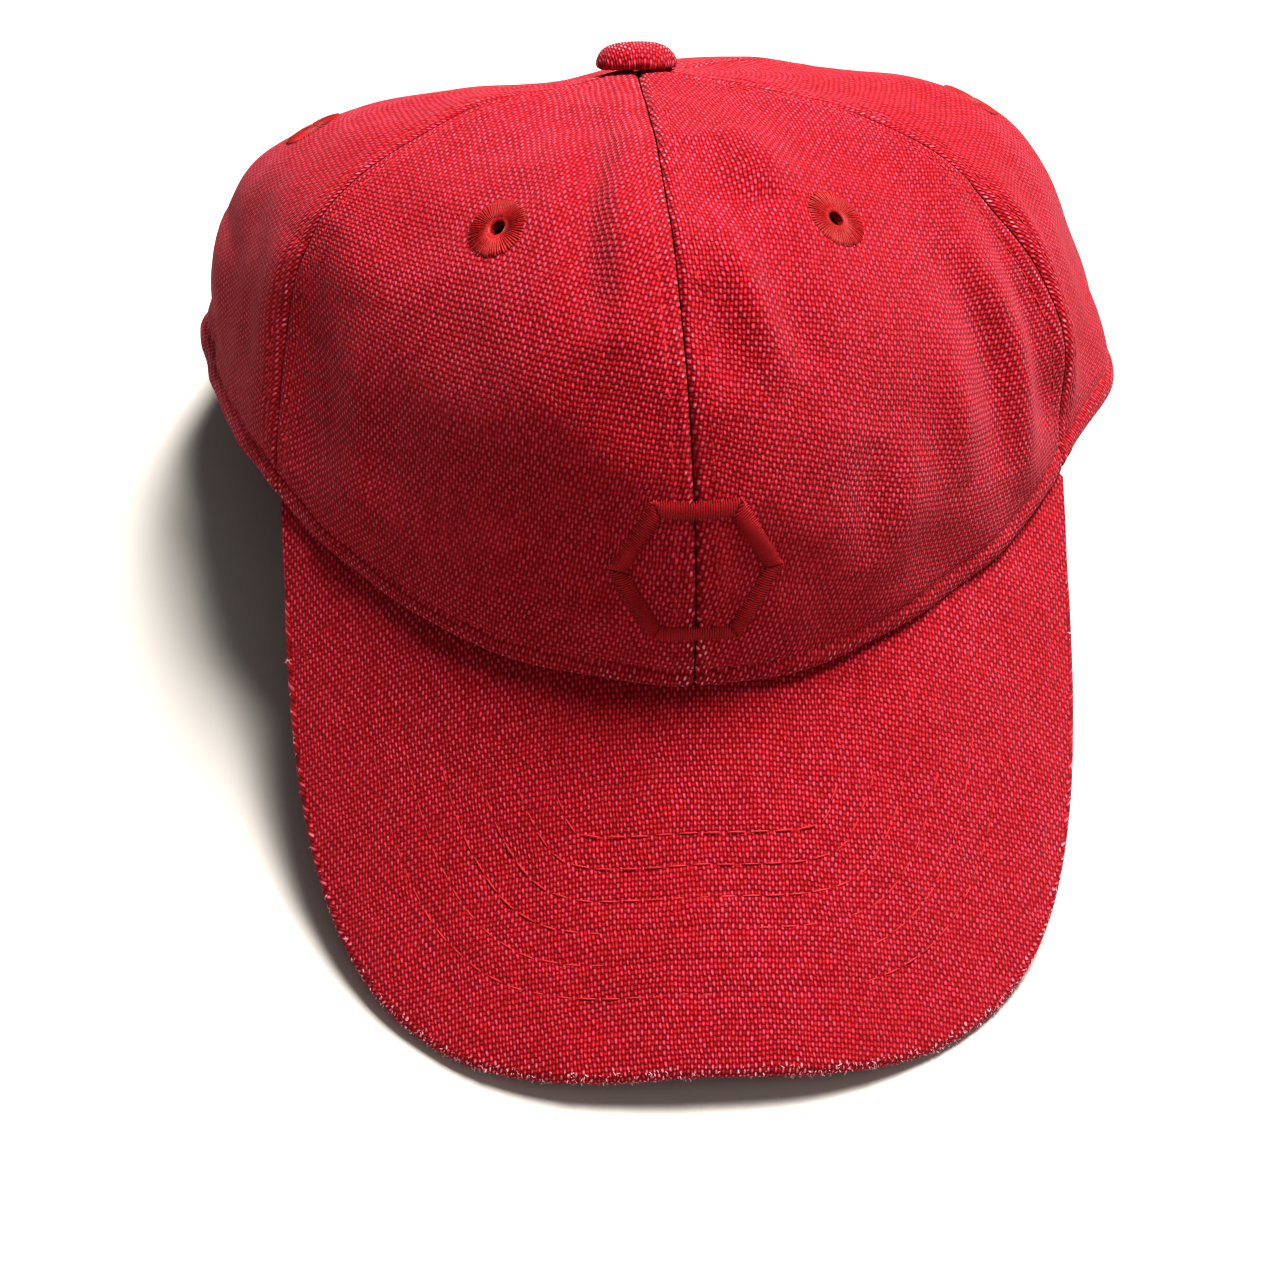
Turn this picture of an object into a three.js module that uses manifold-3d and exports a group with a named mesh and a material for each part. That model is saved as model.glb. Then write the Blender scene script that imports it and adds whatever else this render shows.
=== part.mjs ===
// A six-panel cloth cap worn over a hard protective insert: a bump cap.
//
// Units are millimetres and +Z is up. The brim points along -Y. In the names of the pieces, left and
// right are those of a person who faces the brim: right is +X. The cap stands as it rests on a table,
// on the two front corners of its brim and on the rear of its hem. Angles around the crown start at
// the front centre seam and grow towards +X.

import * as THREE from 'three';
import * as BufferGeometryUtils from 'three/addons/utils/BufferGeometryUtils.js';
import Module from 'manifold-3d';

const wasm = await Module();
wasm.setup();

const radians = THREE.MathUtils.degToRad;

// ---------------------------------------------------------------- driving dimensions

// Clearances
const FIT_GAP = 0.3; // between pieces that touch face to face
const LAYER_GAP = 0.6; // between curved layers of the crown
const PAD_GAP = 1; // between the insert's shell and its pads

// Hem of the crown, seen from above
const HEM_HALF_WIDTH = 102;
const HEM_FRONT_REACH = 119;
const HEM_REAR_REACH = 71;
const HEM_SQUARENESS = 1.87; // exponent of the outline: 2 is an ellipse
const HEM_REAR_SWEEP = 2; // how late the free hem drops to the table behind the brim

// Crown profile: the stiff rise out of the hem, its lean outwards, and the reach of the round top
const CROWN_FRONT = { rise: 69, lean: -0.07, reach: 75 };
const CROWN_SIDE = { rise: 35.5, lean: -0.39, reach: 96 };
const CROWN_REAR = { rise: 47.5, lean: 0.08, reach: 49 };
const CROWN_FRONT_CORNER_SLACK = -11.5;
const CROWN_REAR_CORNER_SLACK = -2;
const APEX_SIDEWAYS = -5;
const APEX_BACK = -2;
const APEX_HEIGHT = 101.5;
const APEX_TILT = radians(37.5); // the button leans back by this much

// Cloth and trim
const CLOTH = 1.2;
const TAPE_THICKNESS = 0.6;
const TAPE_WIDTH = 14;
const SWEATBAND_HEIGHT = 32;
const SWEATBAND_THICKNESS = 1;
const SEAM_GAP = 0.3;

// Brim
const BRIM_END_ANGLE = radians(53.7);
const BRIM_REACH = 182;
const BRIM_SQUARENESS = 3;
const BRIM_SLOPE = radians(31.1);
const BRIM_ARCH = 28.7;
const BRIM_BOARD = 1.8;
const BRIM_TUCK = 1.6; // how far the brim runs in under the crown cloth

// Panel seams and eyelets
const SEAM_FRONT_SIDE = radians(60);
const SEAM_SIDE_REAR = radians(120);
const SEAM_TURN_END = 0.4; // share of the meridian over which the front side seam swings in
const EYELET_RADIUS = 5.15;
const EYELET_HOLE_RADIUS = 1.6;
const EYELET_PROUD = 0.8;
const EYELET_INSIDE = 0.7;
const EYELET_ANGLES = [30, 90, 150].map(radians);
const EYELET_HEIGHTS = [0.583, 0.643, 0.62];
const EYELET_DRILL_LENGTH = 12 * CLOTH; // passes through the curved cloth on both sides

// Button and its rivet
const APEX_HOLE_RADIUS = 3.5;
const BUTTON_RADIUS = 7.7;
const BUTTON_HEIGHT = 5;
const BUTTON_FOOT = 0.93; // share of its radius that the button stands on
const BUTTON_ROUNDING = [[1, 0.25], [0.92, 0.62], [0.6, 0.93]]; // shares of its radius and height
const RIVET_RADIUS = 1.6;
const RIVET_HEAD_RADIUS = 4;
const RIVET_HEAD = 1.2;
const WASHER_RADIUS = 8;
const WASHER = 1;
const TAPE_STOP_RADIUS = 16;

// Emblem on the front seam
const EMBLEM_RADIUS = 17;
const EMBLEM_LINE = 4;
const EMBLEM_HEIGHT = 29; // above the hem
const EMBLEM_THREAD = 0.8;
const EMBLEM_BLANK = 2.4 * EMBLEM_RADIUS; // side of the square layer the emblem is cut from
const EMBLEM_SIDES = 6;

// Rear opening and its strap
const OPENING_HALF_WIDTH = 33;
const OPENING_HEIGHT = 40;
const OPENING_LEG = 12;
const BINDING_WIDTH = 8;
const BINDING_BLANK = 1.3; // the binding is cut from a strip this many times as wide
const ARCH_CUT_BELOW = 5; // how far the arch-shaped cutter starts below the hem
const STRAP_HEIGHT = 20;
const STRAP_START = 2.6; // above the hem
const STRAP_THICKNESS = 1.2;
const STRAP_FREE_END = 31;
const STRAP_BAR_GAP = 2; // between the buckle and the short strap sewn beside it
const KEEPER_WIDTH = 6;
const KEEPER_AT = 22;
const KEEPER_THICKNESS = 1;
const SLOT_OVERRUN = 1; // how far the cutter of the keeper's slot sticks out at each end

// Buckle
const BUCKLE_LENGTH = 22;
const BUCKLE_PLATE = 1;
const BUCKLE_BOW = 1.6; // how much the curved strap bows inside the flat buckle
const EAR_LENGTH = 8;
const PIN_RADIUS = 0.9;
const PIN_GAP = 0.15;
const KNUCKLE_WALL = 0.9;
const LEVER_PLATE = 1.2;

// Protective insert
const HOOK_THICKNESS = 1.5;
const LOOP_THICKNESS = 1.2;
const PATCH_SIZE = 20;
const PATCH_ANGLES = [33, 147].map(radians);
const PATCH_HEIGHTS = [0.4, 0.44];
const SHELL_THICKNESS = 2.2;
const SHELL_RIM_HEIGHT = 37; // above the hem
const SHELL_TOP_HOLE = 14;
const VENT_HALF_WIDTH = 4;
const VENT_LENGTH = 26;
const VENT_ANGLES = [16, 52, 90, 128, 164].map(radians);
const VENT_HEIGHT = 0.62;
const VENT_CUT_DEPTH = 4 * SHELL_THICKNESS;
const PAD_THICKNESS = 6;
const PAD_CROWN_START = 0.74;
const PAD_SIDE_END = 0.68;
const PAD_HALF_ANGLE = radians(24);
const PAD_RIM_MARGIN = 4;

// Facets
const PANEL_COLUMNS = 8;
const CROWN_ROWS = 14;
const TAPE_COLUMNS = 2;
const BINDING_COLUMNS = 12;
const BAND_COLUMNS = 44;
const BAND_ROWS = 3;
const BRIM_COLUMNS = 28;
const BRIM_ROWS = 4;
const EMBLEM_CELLS = 6;
const LONG_STRAP_COLUMNS = 12;
const SHORT_STRAP_COLUMNS = 6;
const KEEPER_COLUMNS = 2;
const STRAP_ROWS = 4;
const SHELL_COLUMNS = 30;
const SHELL_ROWS = 10;
const CROWN_PAD_COLUMNS = 24;
const CROWN_PAD_ROWS = 3;
const RIM_PAD_COLUMNS = 5;
const RIM_PAD_ROWS = 7;
const PATCH_CELLS = 2;
const ROUND_SIDES = 16;
const ARCH_SEGMENTS = 10;
const VENT_SEGMENTS = 3;

// Steps and tolerances of the surface maths
const SLOPE_STEP = 1e-3;
const LENGTH_STEP = 0.01;
const MERGE_DISTANCE = 1e-4;
const LEVEL_SHARE = 0.1; // share of the meridian over which the layers turn level towards the hem

const PLACES = ['front', 'side', 'rear'];

// ---------------------------------------------------------------- derived places and depths

const APEX = new THREE.Vector3(APEX_SIDEWAYS, APEX_BACK, APEX_HEIGHT);

// Depths below the crown's outer face
const TAPE_DEPTH = CLOTH + LAYER_GAP;
const BAND_DEPTH = TAPE_DEPTH + TAPE_THICKNESS + LAYER_GAP;
const LOOP_DEPTH = CLOTH + LAYER_GAP;
const HOOK_DEPTH = LOOP_DEPTH + LOOP_THICKNESS + FIT_GAP;
const SHELL_DEPTH = HOOK_DEPTH + HOOK_THICKNESS + FIT_GAP;
const PAD_DEPTH = SHELL_DEPTH + SHELL_THICKNESS + PAD_GAP;
const STRAP_DEPTH = BAND_DEPTH;
const STRAP_INNER_DEPTH = STRAP_DEPTH + STRAP_THICKNESS + FIT_GAP;
const BRIM_STACK = 2 * CLOTH + BRIM_BOARD + 2 * FIT_GAP;

// ---------------------------------------------------------------- materials

function finish(color, roughness, metalness = 0) {
  return new THREE.MeshStandardMaterial({ color, roughness, metalness });
}

const canvas = finish(0xb0202f, 0.9);
const darkCanvas = finish(0x8f1826, 0.92);
const thread = finish(0xa81f22, 0.6);
const tape = finish(0x9c1d2a, 0.85);
const bandCloth = finish(0xa52330, 0.9);
const board = finish(0xd8d6cc, 0.6);
const brass = finish(0xb08d48, 0.35, 1);
const steel = finish(0xb8babd, 0.35, 1);
const shellPlastic = finish(0x24262a, 0.45);
const foam = finish(0x3a3c40, 0.95);
const hookAndLoop = finish(0x1c1d20, 0.95);

// ---------------------------------------------------------------- surfaces of the cap

function signedPower(value, exponent) {
  return Math.sign(value) * Math.abs(value) ** exponent;
}

// Hem outline from above at an angle around the crown.
function hemPlan(angle) {
  const power = 2 / HEM_SQUARENESS;
  const reach = Math.cos(angle) > 0 ? HEM_FRONT_REACH : HEM_REAR_REACH;
  return {
    x: HEM_HALF_WIDTH * signedPower(Math.sin(angle), power),
    y: -reach * signedPower(Math.cos(angle), power),
  };
}

// Angle from the rear centre at which the hem outline is x away from the middle.
function rearAngleAt(x) {
  return Math.asin((x / HEM_HALF_WIDTH) ** (HEM_SQUARENESS / 2));
}

const brimEnd = hemPlan(BRIM_END_ANGLE);

// Height of the brim's top face before it is lifted onto the table.
function brimRise(x, y) {
  return (y + BRIM_REACH) * Math.tan(BRIM_SLOPE) - BRIM_ARCH * (x / brimEnd.x) ** 2;
}

function brimNormal(x) {
  return new THREE.Vector3((2 * BRIM_ARCH * x) / brimEnd.x ** 2, -Math.tan(BRIM_SLOPE), 1).normalize();
}

// Outline of the brim's free edge; across runs from -1 to 1.
function brimOutline(across) {
  const angle = (across * Math.PI) / 2;
  const power = 2 / BRIM_SQUARENESS;
  return {
    x: brimEnd.x * signedPower(Math.sin(angle), power),
    y: brimEnd.y - (brimEnd.y + BRIM_REACH) * Math.abs(Math.cos(angle)) ** power,
  };
}

// Lift that sets the lowest corner of the brim's underside on the table.
function findBrimLift() {
  let lowest = Infinity;
  for (let i = 0; i <= BRIM_COLUMNS; i += 1) {
    const { x, y } = brimOutline((2 * i) / BRIM_COLUMNS - 1);
    lowest = Math.min(lowest, brimRise(x, y) - BRIM_STACK * brimNormal(x).z);
  }
  return -lowest;
}

const brimLift = findBrimLift();

function brimTop(x, y) {
  return brimRise(x, y) + brimLift;
}

// Height of the crown's lower edge over a point of its outline.
function hemHeight(angle, x, y) {
  const turn = Math.abs(angle);
  if (turn <= BRIM_END_ANGLE) {
    return brimTop(x, y) + FIT_GAP;
  }
  const start = brimTop(brimEnd.x, brimEnd.y) + FIT_GAP;
  const share = (turn - BRIM_END_ANGLE) / (Math.PI - BRIM_END_ANGLE);
  return start * ((1 + Math.cos(Math.PI * share)) / 2) ** HEM_REAR_SWEEP;
}

// Mix of the front, side and rear profiles at an angle.
function crownProfile(angle) {
  const along = Math.cos(angle) ** 2;
  const end = Math.cos(angle) > 0 ? CROWN_FRONT : CROWN_REAR;
  const corner = Math.cos(angle) > 0 ? CROWN_FRONT_CORNER_SLACK : CROWN_REAR_CORNER_SLACK;
  const slack = corner * Math.sin(2 * angle) ** 2;
  const mix = (key) => along * end[key] + (1 - along) * CROWN_SIDE[key];
  return { rise: mix('rise') + slack / 2, lean: mix('lean'), reach: mix('reach') + slack };
}

// Point of the outer face: up is 0 at the hem and 1 at the apex.
function crownPoint(angle, up) {
  const profile = crownProfile(angle);
  const plan = hemPlan(angle);
  const foot = new THREE.Vector3(plan.x, plan.y, hemHeight(angle, plan.x, plan.y));
  const rising = new THREE.Vector3(
    Math.sin(angle) * profile.lean,
    -Math.cos(angle) * profile.lean,
    1,
  );
  const arriving = new THREE.Vector3(
    Math.sin(angle),
    -Math.cos(angle) * Math.cos(APEX_TILT),
    Math.cos(angle) * Math.sin(APEX_TILT),
  );
  const control = [
    foot,
    foot.clone().addScaledVector(rising, profile.rise),
    APEX.clone().addScaledVector(arriving, profile.reach),
    APEX,
  ];
  const down = 1 - up;
  const weights = [down ** 3, 3 * down ** 2 * up, 3 * down * up ** 2, up ** 3];
  return weights.reduce((sum, w, i) => sum.addScaledVector(control[i], w), new THREE.Vector3());
}

function crownAcross(angle, up) {
  const before = crownPoint(angle - SLOPE_STEP, up);
  return crownPoint(angle + SLOPE_STEP, up).sub(before).divideScalar(2 * SLOPE_STEP);
}

function crownUp(angle, up) {
  const below = crownPoint(angle, up - SLOPE_STEP);
  return crownPoint(angle, up + SLOPE_STEP).sub(below).divideScalar(2 * SLOPE_STEP);
}

function crownNormal(angle, up) {
  return crownAcross(angle, up).cross(crownUp(angle, up)).normalize();
}

// Point below the outer face. The hem is cut square, so there the depth runs level.
function layerPoint(angle, up, depth) {
  const normal = crownNormal(angle, up);
  normal.z *= Math.min(1, up / LEVEL_SHARE);
  const point = crownPoint(angle, up).addScaledVector(normal.normalize(), -depth);
  if (up === 0) {
    point.z = hemHeight(angle, point.x, point.y);
  }
  return point;
}

// Share of the meridian that lies a length above the hem.
function upAtHeight(angle, height) {
  let length = 0;
  let up = 0;
  while (length < height && up < 1) {
    const piece = crownPoint(angle, up + LENGTH_STEP).distanceTo(crownPoint(angle, up));
    if (length + piece >= height) {
      return up + (LENGTH_STEP * (height - length)) / piece;
    }
    length += piece;
    up += LENGTH_STEP;
  }
  return up;
}

// Share of the meridian that ends a distance short of the apex.
function upNearApex(angle, distance) {
  return 1 - distance / (3 * crownProfile(angle).reach);
}

// Angle of a panel seam. The front side seams swing in to the ends of the brim at the hem.
function seamAngle(seam, up) {
  if (Math.abs(seam) !== SEAM_FRONT_SIDE) {
    return seam;
  }
  const swing = Math.max(0, 1 - up / SEAM_TURN_END) ** 2;
  return Math.sign(seam) * THREE.MathUtils.lerp(SEAM_FRONT_SIDE, BRIM_END_ANGLE, swing);
}

// ---------------------------------------------------------------- solids

// Closed solid between two layers of one curved sheet.
// place(across, up, side) gives a point, with side 0 on the outer face and 1 on the inner one.
function sheetSolid(place, columns, rows, isRing = false) {
  const width = isRing ? columns : columns + 1;
  const positions = [];
  for (let side = 0; side < 2; side += 1) {
    for (let j = 0; j <= rows; j += 1) {
      for (let i = 0; i < width; i += 1) {
        positions.push(...place(i / columns, j / rows, side));
      }
    }
  }
  const at = (i, j, side) => side * width * (rows + 1) + j * width + (i % width);
  const faces = [];
  const quad = (a, b, c, d) => faces.push(a, b, c, a, c, d);
  for (let j = 0; j < rows; j += 1) {
    for (let i = 0; i < columns; i += 1) {
      quad(at(i, j, 0), at(i + 1, j, 0), at(i + 1, j + 1, 0), at(i, j + 1, 0));
      quad(at(i, j, 1), at(i, j + 1, 1), at(i + 1, j + 1, 1), at(i + 1, j, 1));
    }
  }
  for (let i = 0; i < columns; i += 1) {
    quad(at(i, 0, 0), at(i, 0, 1), at(i + 1, 0, 1), at(i + 1, 0, 0));
    quad(at(i, rows, 0), at(i + 1, rows, 0), at(i + 1, rows, 1), at(i, rows, 1));
  }
  for (let j = 0; j < rows && !isRing; j += 1) {
    quad(at(0, j, 0), at(0, j + 1, 0), at(0, j + 1, 1), at(0, j, 1));
    quad(at(columns, j, 0), at(columns, j, 1), at(columns, j + 1, 1), at(columns, j + 1, 0));
  }
  return indexedGeometry(positions, faces);
}

function indexedGeometry(positions, faces) {
  const geometry = new THREE.BufferGeometry();
  geometry.setAttribute('position', new THREE.Float32BufferAttribute(positions, 3));
  geometry.setIndex(Array.from(faces));
  geometry.computeVertexNormals();
  return geometry;
}

function toSolid(geometry) {
  const bare = geometry.clone();
  bare.deleteAttribute('normal');
  bare.deleteAttribute('uv');
  const merged = BufferGeometryUtils.mergeVertices(bare, MERGE_DISTANCE);
  const triVerts = new Uint32Array(merged.index.array);
  const vertProperties = new Float32Array(merged.attributes.position.array);
  return new wasm.Manifold(new wasm.Mesh({ numProp: 3, vertProperties, triVerts }));
}

function fromSolid(solid) {
  const mesh = solid.getMesh();
  return indexedGeometry(Array.from(mesh.vertProperties), mesh.triVerts);
}

function cut(geometry, ...cutters) {
  return fromSolid(cutters.reduce((solid, cutter) => solid.subtract(toSolid(cutter)), toSolid(geometry)));
}

function overlap(geometry, other) {
  return fromSolid(toSolid(geometry).intersect(toSolid(other)));
}

function join(geometry, other) {
  return fromSolid(toSolid(geometry).add(toSolid(other)));
}

// Solid turned about Z from a closed profile of [radius, height] pairs.
function turned(profile, sides = ROUND_SIDES) {
  const points = profile.map(([radius, height]) => new THREE.Vector2(radius, height));
  return new THREE.LatheGeometry(points, sides).rotateX(Math.PI / 2);
}

function washerProfile(inner, outer, low, high) {
  return [[inner, low], [outer, low], [outer, high], [inner, high], [inner, low]];
}

function rodProfile(radius, low, high) {
  return [[0, low], [radius, low], [radius, high], [0, high]];
}

function block(size, center) {
  return new THREE.BoxGeometry(...size).translate(...center);
}

// Turn that stands Z on the crown, X level and Y up the meridian.
function crownFrame(angle, up, depth = 0) {
  const normal = crownNormal(angle, up);
  const rise = crownUp(angle, up).projectOnPlane(normal).normalize();
  const across = rise.clone().cross(normal);
  const point = crownPoint(angle, up).addScaledVector(normal, -depth);
  return new THREE.Matrix4().makeBasis(across, rise, normal).setPosition(point);
}

function part(name, geometry, material) {
  const mesh = new THREE.Mesh(geometry, material);
  mesh.name = name;
  return mesh;
}

function placed(mesh, frame) {
  frame.decompose(mesh.position, mesh.quaternion, mesh.scale);
  return mesh;
}

// Name of the side of the cap that a sign of X stands for.
function sideName(side) {
  return side > 0 ? 'right' : 'left';
}

// ---------------------------------------------------------------- rear opening outline

// Arch-shaped bar through the rear of the crown, larger than the opening by a margin.
function archBar(margin) {
  const half = OPENING_HALF_WIDTH + margin;
  const outline = new THREE.Shape();
  outline.moveTo(-half, -ARCH_CUT_BELOW);
  outline.lineTo(half, -ARCH_CUT_BELOW);
  outline.lineTo(half, OPENING_LEG);
  outline.absellipse(0, OPENING_LEG, half, OPENING_HEIGHT + margin - OPENING_LEG, 0, Math.PI, false);
  outline.closePath();
  const depth = HEM_REAR_REACH;
  const options = { depth, bevelEnabled: false, curveSegments: ARCH_SEGMENTS };
  const bar = new THREE.ExtrudeGeometry(outline, options).rotateX(Math.PI / 2);
  return bar.translate(0, HEM_REAR_REACH / 2 + depth, 0);
}

// ---------------------------------------------------------------- crown panels

function panelGeometry(seamA, seamB) {
  const place = (across, up, side) => {
    const topAngle = THREE.MathUtils.lerp(seamA, seamB, across);
    const share = up * upNearApex(topAngle, APEX_HOLE_RADIUS);
    const from = seamAngle(seamA, share);
    const to = seamAngle(seamB, share);
    const inset = (at) => SEAM_GAP / 2 / crownAcross(at, share).length();
    const angle = THREE.MathUtils.lerp(from + inset(from), to - inset(to), across);
    return layerPoint(angle, share, side * CLOTH);
  };
  return sheetSolid(place, PANEL_COLUMNS, CROWN_ROWS);
}

function eyeletHole(angle, up) {
  const half = EYELET_DRILL_LENGTH / 2;
  const drill = turned(rodProfile(EYELET_RADIUS + FIT_GAP, -half, half));
  return drill.applyMatrix4(crownFrame(angle, up));
}

function crownPanels() {
  const seams = [0, SEAM_FRONT_SIDE, SEAM_SIDE_REAR, Math.PI];
  const panels = [];
  for (const side of [1, -1]) {
    PLACES.forEach((place, i) => {
      const [from, to] = side > 0 ? [seams[i], seams[i + 1]] : [-seams[i + 1], -seams[i]];
      const cutters = [eyeletHole(side * EYELET_ANGLES[i], EYELET_HEIGHTS[i])];
      if (place === 'rear') {
        cutters.push(archBar(0));
      }
      const geometry = cut(panelGeometry(from, to), ...cutters);
      panels.push(part(`panel_${place}_${sideName(side)}`, geometry, canvas));
    });
  }
  return panels;
}

function eyelets() {
  const low = -CLOTH - EYELET_INSIDE;
  const rim = EYELET_RADIUS - EYELET_PROUD;
  const profile = [
    [EYELET_HOLE_RADIUS, low],
    [EYELET_RADIUS, low],
    [EYELET_RADIUS, EYELET_PROUD / 2],
    [rim, EYELET_PROUD],
    [EYELET_HOLE_RADIUS + EYELET_PROUD, EYELET_PROUD],
    [EYELET_HOLE_RADIUS, EYELET_PROUD / 2],
    [EYELET_HOLE_RADIUS, low],
  ];
  const rings = [];
  PLACES.forEach((place, i) => {
    for (const side of [1, -1]) {
      const name = `eyelet_${place}_${sideName(side)}`;
      const ring = part(name, turned(profile), thread);
      rings.push(placed(ring, crownFrame(side * EYELET_ANGLES[i], EYELET_HEIGHTS[i])));
    }
  });
  return rings;
}

// ---------------------------------------------------------------- inside trim

function tapeGeometry(seam) {
  const place = (across, up, side) => {
    const share = up * upNearApex(seam, TAPE_STOP_RADIUS);
    const middle = seamAngle(seam, share);
    const offset = ((across - 0.5) * TAPE_WIDTH) / crownAcross(middle, share).length();
    return layerPoint(middle + offset, share, TAPE_DEPTH + side * TAPE_THICKNESS);
  };
  return sheetSolid(place, TAPE_COLUMNS, CROWN_ROWS);
}

function seamTapes() {
  const rearTape = cut(tapeGeometry(Math.PI), archBar(BINDING_WIDTH + FIT_GAP));
  const tapes = [
    part('seam_tape_front', tapeGeometry(0), tape),
    part('seam_tape_rear', rearTape, tape),
  ];
  for (const side of [1, -1]) {
    const front = tapeGeometry(side * SEAM_FRONT_SIDE);
    const rear = tapeGeometry(side * SEAM_SIDE_REAR);
    tapes.push(part(`seam_tape_front_${sideName(side)}`, front, tape));
    tapes.push(part(`seam_tape_rear_${sideName(side)}`, rear, tape));
  }
  return tapes;
}

function sweatband() {
  const stop = Math.PI - rearAngleAt(OPENING_HALF_WIDTH + BINDING_WIDTH + 2 * FIT_GAP);
  const place = (across, up, side) => {
    const angle = THREE.MathUtils.lerp(-stop, stop, across);
    const share = upAtHeight(angle, up * SWEATBAND_HEIGHT);
    return layerPoint(angle, share, BAND_DEPTH + side * SWEATBAND_THICKNESS);
  };
  return part('sweatband', sheetSolid(place, BAND_COLUMNS, BAND_ROWS), bandCloth);
}

function archBinding() {
  const blank = BINDING_BLANK * (OPENING_HALF_WIDTH + BINDING_WIDTH);
  const reach = rearAngleAt(Math.min(blank, HEM_HALF_WIDTH));
  const place = (across, up, side) => {
    const angle = THREE.MathUtils.lerp(Math.PI - reach, Math.PI + reach, across);
    const share = up * upNearApex(Math.PI, TAPE_STOP_RADIUS);
    return layerPoint(angle, share, TAPE_DEPTH + side * TAPE_THICKNESS);
  };
  const layer = sheetSolid(place, BINDING_COLUMNS, CROWN_ROWS);
  return part('rear_arch_binding', cut(overlap(layer, archBar(BINDING_WIDTH)), archBar(0)), tape);
}

// ---------------------------------------------------------------- brim

function brimLayer(depth, thickness) {
  const place = (across, forward, side) => {
    const along = 2 * across - 1;
    const angle = along * BRIM_END_ANGLE;
    const hem = crownPoint(angle, 0);
    const inner = hem.addScaledVector(crownNormal(angle, 0).setZ(0).normalize(), -BRIM_TUCK);
    const outer = brimOutline(along);
    const x = THREE.MathUtils.lerp(outer.x, inner.x, forward);
    const y = THREE.MathUtils.lerp(outer.y, inner.y, forward);
    const top = new THREE.Vector3(x, y, brimTop(x, y));
    return top.addScaledVector(brimNormal(x), -depth - side * thickness);
  };
  return sheetSolid(place, BRIM_COLUMNS, BRIM_ROWS);
}

function brim() {
  const boardDepth = CLOTH + FIT_GAP;
  return [
    part('brim_top_cover', brimLayer(0, CLOTH), canvas),
    part('brim_board', brimLayer(boardDepth, BRIM_BOARD), board),
    part('brim_under_cover', brimLayer(boardDepth + BRIM_BOARD + FIT_GAP, CLOTH), darkCanvas),
  ];
}

// ---------------------------------------------------------------- button

function button() {
  const socket = RIVET_RADIUS + FIT_GAP;
  const cover = [
    [0, BUTTON_HEIGHT / 2],
    [socket, BUTTON_HEIGHT / 2],
    [socket, FIT_GAP],
    [BUTTON_FOOT * BUTTON_RADIUS, FIT_GAP],
    ...BUTTON_ROUNDING.map(([out, high]) => [out * BUTTON_RADIUS, high * BUTTON_HEIGHT]),
    [0, BUTTON_HEIGHT + FIT_GAP],
  ];
  const washerLow = -TAPE_DEPTH - WASHER;
  const headHigh = washerLow - FIT_GAP;
  const rivet = [
    [0, headHigh - RIVET_HEAD],
    [RIVET_HEAD_RADIUS, headHigh - RIVET_HEAD],
    [RIVET_HEAD_RADIUS, headHigh],
    [RIVET_RADIUS, headHigh],
    [RIVET_RADIUS, BUTTON_HEIGHT / 2 - FIT_GAP],
    [0, BUTTON_HEIGHT / 2 - FIT_GAP],
  ];
  const ring = washerProfile(RIVET_RADIUS + FIT_GAP, WASHER_RADIUS, washerLow, -TAPE_DEPTH);
  const pieces = [
    part('top_button', turned(cover), canvas),
    part('button_rivet', turned(rivet), steel),
    part('button_washer', turned(ring), steel),
  ];
  const frame = new THREE.Matrix4().makeRotationX(-APEX_TILT).setPosition(APEX);
  return pieces.map((piece) => placed(piece, frame));
}

// ---------------------------------------------------------------- emblem

function hexagonBar(radius, center) {
  const corners = Array.from({ length: EMBLEM_SIDES }, (_, i) => {
    const angle = (2 * Math.PI * i) / EMBLEM_SIDES;
    return new THREE.Vector2(radius * Math.cos(angle), radius * Math.sin(angle));
  });
  const length = HEM_FRONT_REACH;
  const bar = new THREE.ExtrudeGeometry(new THREE.Shape(corners), { depth: length, bevelEnabled: false });
  return bar.rotateX(Math.PI / 2).translate(center.x, center.y + length / 2, center.z);
}

function emblem() {
  const middle = crownPoint(0, upAtHeight(0, EMBLEM_HEIGHT));
  const place = (across, up, side) => {
    const height = EMBLEM_HEIGHT + (up - 0.5) * EMBLEM_BLANK;
    const offset = ((across - 0.5) * EMBLEM_BLANK) / HEM_HALF_WIDTH;
    return layerPoint(offset, upAtHeight(offset, height), -FIT_GAP - (1 - side) * EMBLEM_THREAD);
  };
  const layer = sheetSolid(place, EMBLEM_CELLS, EMBLEM_CELLS);
  const outer = overlap(layer, hexagonBar(EMBLEM_RADIUS, middle));
  return part('front_emblem', cut(outer, hexagonBar(EMBLEM_RADIUS - EMBLEM_LINE, middle)), thread);
}

// ---------------------------------------------------------------- strap

// Strip that follows the rear of the crown from one X to another and between two heights.
function rearStrip(fromX, toX, low, high, depth, thickness, columns) {
  const angleAt = (x) => Math.PI - Math.sign(x) * rearAngleAt(Math.abs(x));
  const place = (across, up, side) => {
    const angle = angleAt(THREE.MathUtils.lerp(toX, fromX, across));
    const share = upAtHeight(angle, THREE.MathUtils.lerp(low, high, up));
    return layerPoint(angle, share, depth + side * thickness);
  };
  return sheetSolid(place, columns, STRAP_ROWS);
}

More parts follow.
